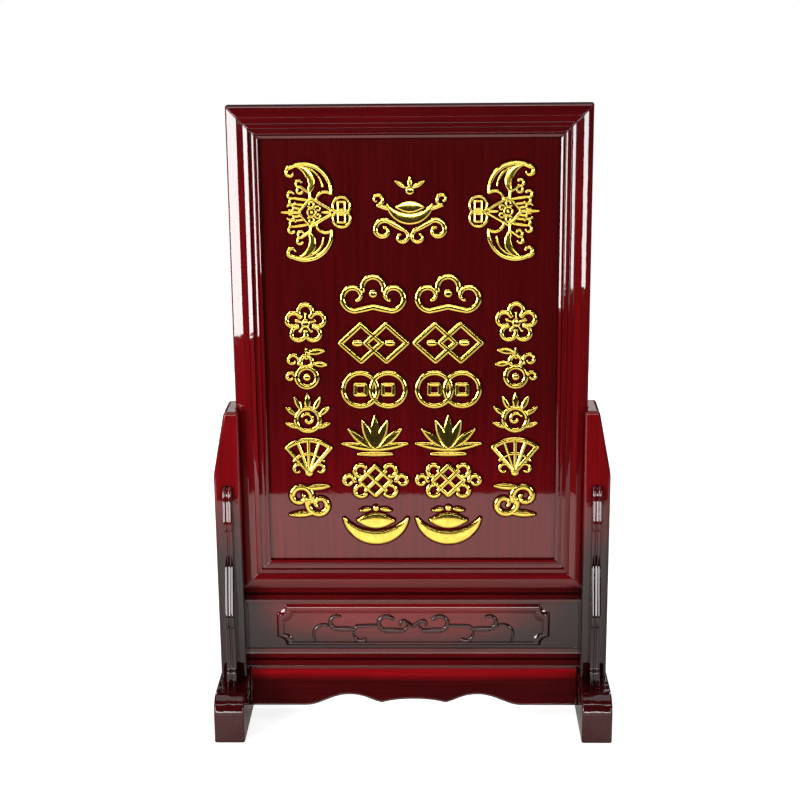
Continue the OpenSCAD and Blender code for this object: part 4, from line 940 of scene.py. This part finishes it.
class Spandrels(bpy.types.Operator):
    """Builds the four standing spandrels, with a double bead along the scalloped edge"""
    bl_idname = "tablet.spandrels"
    bl_label = "Spandrels"

    def execute(self, context):
        s = context.scene.tablet_stand
        low, high = corners("rear_right_spandrel")
        size = high - low
        # Across the edge lie two beads, half an ellipse each, carried along it and let in along its normals
        edge = spandrel_edge(size[Y], size[Z])
        steps = np.gradient(edge, axis=0)
        outward = unit(np.stack([-steps[:, 1], steps[:, 0]], -1))
        bead_r = (size[X] - s.bead_gap) / 4
        turn = np.radians(np.linspace(180, 0, 11))
        bead = np.stack([bead_r * np.cos(turn), s.bead_h * (1 - np.sin(turn))], -1)
        bead_x = (s.bead_gap + size[X]) / 4
        across = np.concatenate([bead - (bead_x, 0), bead + (bead_x, 0)])
        rim = edge[:, None] - across[None, :, 1:] * outward[:, None]
        rim[..., 0] = np.maximum(rim[..., 0], 0)
        rim[..., 1] = np.clip(rim[..., 1], 0, size[Z])
        foot = np.stack([np.zeros(len(edge)), edge[:, 1]], -1)[:, None]
        flat = np.concatenate([foot, rim, foot], 1)
        x = np.pad(across[:, 0], 1, mode="edge") + (low[X] + high[X]) / 2
        z = np.clip(flat[..., 1] + low[Z], low[Z], high[Z])
        shell = tube(np.stack([np.broadcast_to(x, z.shape), flat[..., 0] + low[Y], z], -1))
        stand_pieces("beaded_", shell, stand_lacquer(context.scene.tablet_finishes, "spandrel", Z),
                     {"rear_right_spandrel": (), "rear_left_spandrel": (X,),
                      "front_right_spandrel": (Y,), "front_left_spandrel": (X, Y)})
        return {"FINISHED"}


class Feet(bpy.types.Operator):
    """Builds the two feet, with rounded noses and arrises"""
    bl_idname = "tablet.feet"
    bl_label = "Feet"

    def execute(self, context):
        s = context.scene.tablet_stand
        low, high = corners("right_foot")
        # The outline from the side has quarter circles at the noses and at the soles
        sole_r = 0.8 * MM
        front = arc((high[Y] - s.nose_r, high[Z] - s.nose_r), s.nose_r, 0, 90, 20)
        back = (front * (-1, 1))[::-1]
        toe = arc((high[Y] - sole_r, sole_r), sole_r, -90, 0, 4)
        heel = (toe * (-1, 1))[::-1]
        outline = np.concatenate([heel, toe, front, back])
        foot = rounded_slab(outline, low[X], high[X], s.foot_r,
                            lambda flat, x: np.concatenate([x, flat], -1))
        stand_pieces("rounded_", foot, stand_lacquer(context.scene.tablet_finishes, "foot", Y, peel=12.0),
                     {"right_foot": (), "left_foot": (X,)})
        return {"FINISHED"}


class CrossRails(bpy.types.Operator):
    """Builds the two cross rails, each with a square fillet under a leaning face"""
    bl_idname = "tablet.cross_rails"
    bl_label = "Cross rails"

    def execute(self, context):
        s = context.scene.tablet_stand
        inner = corners("right_post")[0][X]
        material = stand_lacquer(context.scene.tablet_finishes, "rail", X)
        for node, fillet in (("upper_cross_rail", 0), ("lower_cross_rail", s.upper_fillet)):
            low, high = corners(node)
            half = self.half_section(s, high[Y], high[Z] - low[Z], fillet)
            section = np.concatenate([half * (-1, 1), half[::-1]])
            ends = [np.column_stack([np.full(len(section), x), section[:, 0], section[:, 1] + low[Z]])
                    for x in (-inner, inner)]
            make_piece("hollowed_" + node, [tube(np.stack(ends))], material, "stand", "lacquer", node)
        return {"FINISHED"}

    def half_section(self, s, out, height, fillet):
        """Half of a rail's section from the underside up: a rounded fillet, a leaning face with a
        groove along its middle, and a fillet or nothing."""
        r = s.rail_edge
        rise = height - fillet - s.fillet_h
        first = np.array([out - s.rail_step, s.fillet_h])
        last = first + (-rise * math.tan(s.rail_lean), rise)
        along = (last - first) * s.quirk_w / 2 / rise
        middle, inward = (first + last) / 2, np.array([s.quirk_d, 0])
        parts = [arc((out - r, r), r, -90, 0, 4), arc((out - r, s.fillet_h - r), r, 0, 90, 4),
                 np.linspace(first, middle - along, 6), [middle - along - inward, middle + along - inward],
                 np.linspace(middle + along, last, 6)]
        if fillet:
            parts.append(arc((last[0] - r, height - r), r, 0, 90, 4))
        return np.concatenate(parts)


class Aprons(bpy.types.Operator):
    """Builds the two sloping aprons with their scalloped lower edge"""
    bl_idname = "tablet.aprons"
    bl_label = "Aprons"

    def execute(self, context):
        s = context.scene.tablet_stand
        rail_low, rail_high = corners("lower_cross_rail")
        end = corners("right_foot")[0][X]
        # One half of the lower edge: a level end, a wide arch down to a cusp, and half of the middle arch
        flat, peak, cusp = 0.657 * end, 0.394 * end, 0.193 * end
        half = np.concatenate([[[end, 0]], chain(
            (flat, 0),
            ((flat + (peak - flat) / 3, 0), (flat + (peak - flat) * 3 / 5, s.arch_rise),
             (peak, s.arch_rise), 20),
            (((peak + cusp) / 2, s.arch_rise),
             (peak + (cusp - peak) * 2 / 3, s.cusp_rise + (s.arch_rise - s.cusp_rise) / 4),
             (cusp, s.cusp_rise), 20),
            ((cusp * 2 / 3, s.cusp_rise + (s.middle_rise - s.cusp_rise) * 4 / 5),
             (cusp / 3, s.middle_rise), (0, s.middle_rise), 12))])
        top = s.apron_h + s.apron_t
        outline = np.concatenate([half, half[-2::-1] * (-1, 1), [[-end, top], [end, top]]])[::-1]
        lean = s.apron_tilt
        front_y, rail_z = -(rail_high[Y] - s.rail_step), rail_low[Z]

        def place(flat_points, depth):
            """Leans the slab forward, and ends it level under the rail."""
            up = np.minimum(flat_points[..., 1:] - s.apron_h, depth * math.tan(lean))
            y = front_y + up * math.sin(lean) + depth * math.cos(lean)
            z = rail_z + up * math.cos(lean) - depth * math.sin(lean)
            return np.concatenate([flat_points[..., :1], y, z], -1)

        apron = rounded_slab(outline, 0, s.apron_t, s.apron_r, place)
        stand_pieces("scalloped_", apron, stand_lacquer(context.scene.tablet_finishes, "apron", X),
                     {"front_apron": (), "rear_apron": (Y,)})
        return {"FINISHED"}


class CarvedPanel(bpy.types.Operator):
    """Builds the carved panel between the cross rails"""
    bl_idname = "tablet.carved_panel"
    bl_label = "Carved panel"

    def execute(self, context):
        s = context.scene.tablet_stand
        low, high = corners("carved_panel")
        face = -s.carved_t / 2
        middle = (low[Z] + high[Z]) / 2
        ends = [np.array([[x, face, low[Z]], [x, high[Y], low[Z]], [x, high[Y], high[Z]], [x, face, high[Z]]])
                for x in (low[X], high[X])]
        colours = context.scene.tablet_finishes
        make_piece("scrolled_carved_panel", [tube(np.stack(ends)), self.border(s, high[X], face, middle)],
                   stand_lacquer(colours, "carving", X), "stand", "lacquer", "carved_panel")
        # The tendrils are painted darker than the carving, as shade
        make_piece("carved_tendrils", self.tendrils(s, face, middle - s.tendril_drop),
                   stand_lacquer(colours, "tendrils", X), "stand", "lacquer")
        return {"FINISHED"}

    def tendrils(self, s, face, middle):
        """Shells of the tendrils: half-round ribs whose ridge is drawn down, so that the upper side is
        broad."""
        t = np.linspace(0, math.pi / 2, 8)
        side = 1.5
        ribs = motif_shells(MOTIFS["tendrils"], (side * (1 - np.cos(t)), s.carve_h / MM * np.sin(t)))
        lean = s.tendril_lean / s.carve_h
        return [(np.stack([x, face / MM - rise, middle / MM + z - lean * rise], -1) * MM, quads, caps)
                for (x, rise, z), quads, caps in ((points.T, quads, caps) for points, quads, caps in ribs)]

    def scooped(self, half_l, low, high, radius):
        """A rectangle whose corners are scooped out by quarter circles, from the lower right one on."""
        places = ((half_l, low, 180), (half_l, high, 270), (-half_l, high, 360), (-half_l, low, 90))
        return np.concatenate([arc((x, z), radius, start, start - 90, 8) for x, z, start in places])

    def border(self, s, end, face, middle):
        """The border: a low ridge, a parabola across, carried from the outer to the inner scooped
        outline."""
        half_l, half_h = end - s.border_end, s.opening_h / 2 - s.border_side
        outer = self.scooped(half_l, -half_h, half_h, s.border_notch)
        inner = self.scooped(half_l - s.border_w, s.border_foot - half_h, half_h - s.border_top,
                             s.border_notch)
        t = np.linspace(0, 1, 13)
        flat = outer[:, None] + (inner - outer)[:, None] * t[None, :, None]
        rise = 4 * s.carve_h * t * (1 - t)
        return grid(raised(flat + (0, middle), face - rise), wrap_rows=True, wrap_columns=True)


# The stage, in metres

# Place, size and watts of each softbox
SOFTBOXES = {
    "left_strip": ((-0.706, -0.759, 0.255), (0.335, 0.33), 6.0),
    "left_strip_top": ((-0.72, -0.78, 0.76), (0.13, 0.68), 2.4),
    "right_strip": ((0.637, -0.806, 0.287), (0.14, 0.27), 1.8),
    "far_wall": ((0, -5, 0.27), (2.4, 0.5), 42.0),
    "front_top": ((0, -1.3, 1.45), (1.3, 0.11), 2.2),
    "overhead": ((0, 0.1, 1.7), (1.6, 1.2), 6.0),
    "rear_strip": ((0, 2.0, 0.805), (1.3, 0.11), 0.45),
    "rear_left": ((-0.8, 0.95, 0.7), (0.5, 0.5), 6.0),
    "rear_right": ((0.8, 0.95, 0.7), (0.5, 0.5), 6.0),
}
TABLET_MIDDLE = Vector((0, 0, 0.24))
CAMERA_PLACE = (0.0195, -1.2057, 0.5875)
FLOOR = ((-0.9, -0.55, 0), (0.9, -0.55, 0), (0.9, 1.1, 0), (-0.9, 1.1, 0))
# The paper close in front of the stand lies in its shade, and the paper far to the sides and behind lies in
# the dark of the room, so their mirror images are dimmer: middle, reach and fade of each
DIM_POOLS = (
    ((0, -0.03, 0), (0.3, 0.13, 9), {"From Max": 0.7, "To Min": 1.0, "To Max": 0.45}),
    ((0, -0.45, 0), (0.45, 0.75, 9), {"From Min": 0.3, "From Max": 0.7, "To Min": 0.15}),
)
WHITE = (1, 1, 1, 1)
DIM_ROOM = (0.03, 0.03, 0.03, 1)
WARM_WHITE = (1, 0.92, 0.82, 1)


class Stage(bpy.types.Operator):
    """Sets up the camera, the pale floor and soft studio light"""
    bl_idname = "tablet.stage"
    bl_label = "Stage"

    def execute(self, context):
        scene = context.scene
        scene.view_settings.view_transform = "Standard"
        self.camera(scene)
        self.world(scene)
        self.floor(scene)
        for name, (place, size, watts) in SOFTBOXES.items():
            self.softbox(scene, name, Vector(place), size, watts)
        return {"FINISHED"}

    def camera(self, scene):
        """A camera by its place and its angles: down from level, to the side, and rolled."""
        pitch, yaw, roll = 0.267, -0.0234, -0.0095
        focal_px, picture_px, sensor_mm = 1642.27, 800, 36
        turns = (Matrix.Rotation(-yaw, 4, "Z"), Matrix.Rotation(math.pi / 2 - pitch, 4, "X"),
                 Matrix.Rotation(roll, 4, "Z"))
        data = bpy.data.cameras.new("camera")
        data.sensor_width = sensor_mm
        data.lens = sensor_mm * focal_px / picture_px
        camera = bpy.data.objects.new("camera", data)
        camera.matrix_world = Matrix.Translation(CAMERA_PLACE) @ turns[0] @ turns[1] @ turns[2]
        scene.collection.objects.link(camera)
        scene.camera = camera

    def world(self, scene):
        """A dim room that the camera sees as white."""
        scene.world = bpy.data.worlds.new("studio")
        scene.world.use_nodes = True
        tree = scene.world.node_tree
        tree.nodes.clear()
        seen = add(tree, "LightPath").outputs["Is Camera Ray"]
        shade = add(tree, "Mix", {"Factor": seen, 6: DIM_ROOM, 7: WHITE}, data_type="RGBA")
        light = add(tree, "Background", {"Color": shade, "Strength": 1.0})
        add(tree, "OutputWorld", {"Surface": light})

    def pale_paper(self):
        """White paper that the camera and reflections see as white, and that still takes a shadow."""
        material, tree, place = new_material("White paper")
        path = add(tree, "LightPath").outputs
        mirrored = path["Is Glossy Ray"]
        for middle, reach, fade in DIM_POOLS:
            shade = add(tree, "MapRange", {"Value": pool(tree, place, middle, reach), **fade},
                        interpolation_type="SMOOTHSTEP")
            mirrored = add(tree, "Math", {0: mirrored, 1: shade}, operation="MULTIPLY")
        seen = add(tree, "Math", {0: path["Is Camera Ray"], 1: mirrored}, operation="MAXIMUM")
        seen = add(tree, "Math", {0: seen, 1: path["Is Transmission Ray"]}, operation="MAXIMUM")
        glow = add(tree, "Math", {0: seen, 1: 0.8}, operation="MULTIPLY")
        tint = add(tree, "Mix", {"Factor": path["Is Camera Ray"], 6: WARM_WHITE, 7: WHITE}, data_type="RGBA")
        shader = add(tree, "BsdfPrincipled", {
            "Base Color": (0.8, 0.8, 0.8, 1), "Roughness": 0.9, "Specular IOR Level": 0.0,
            "Emission Color": tint, "Emission Strength": glow})
        add(tree, "OutputMaterial", {"Surface": shader})
        return material

    def floor(self, scene):
        """A flat sheet of white paper."""
        mesh = bpy.data.meshes.new("floor")
        mesh.from_pydata(FLOOR, [], [(0, 1, 2, 3)])
        mesh.materials.append(self.pale_paper())
        floor = bpy.data.objects.new("floor", mesh)
        scene.collection.objects.link(floor)

    def softbox(self, scene, name, place, size, watts):
        """An area light that faces the middle of the tablet."""
        data = bpy.data.lights.new(name, "AREA")
        data.shape = "RECTANGLE"
        data.size, data.size_y = size
        data.energy = watts
        light = bpy.data.objects.new(name, data)
        turn = (TABLET_MIDDLE - place).to_track_quat("-Z", "Y").to_matrix().to_4x4()
        light.matrix_world = Matrix.Translation(place) @ turn
        light.visible_camera = False
        scene.collection.objects.link(light)


class TabletPanel(bpy.types.Panel):
    """Lists the steps in the order in which they run"""
    bl_idname = "VIEW3D_PT_tablet"
    bl_label = "Spirit tablet"
    bl_space_type = "VIEW_3D"
    bl_region_type = "UI"
    bl_category = "Tablet"

    def draw(self, context):
        for step in STEPS:
            self.layout.operator(step.bl_idname)


STEPS = (Stage, MouldedFrame, Boards, Screws, GiltRelief, Posts, Spandrels, Feet, CrossRails, Aprons,
         CarvedPanel)
GROUPS = {"tablet_frame": FrameSizes, "tablet_relief": ReliefSizes, "tablet_stand": StandSizes,
          "tablet_finishes": Finishes}


def register():
    for group in GROUPS.values():
        bpy.utils.register_class(group)
    for name, group in GROUPS.items():
        setattr(bpy.types.Scene, name, bpy.props.PointerProperty(type=group))
    for step in (*STEPS, TabletPanel):
        bpy.utils.register_class(step)


def unregister():
    for step in (TabletPanel, *STEPS):
        bpy.utils.unregister_class(step)
    for name, group in GROUPS.items():
        delattr(bpy.types.Scene, name)
        bpy.utils.unregister_class(group)


def main():
    register()
    bpy.ops.tablet.stage()
    bpy.ops.tablet.moulded_frame()
    bpy.ops.tablet.boards()
    bpy.ops.tablet.screws()
    bpy.ops.tablet.gilt_relief()
    bpy.ops.tablet.posts()
    bpy.ops.tablet.spandrels()
    bpy.ops.tablet.feet()
    bpy.ops.tablet.cross_rails()
    bpy.ops.tablet.aprons()
    bpy.ops.tablet.carved_panel()


if __name__ == "__main__":
    main()
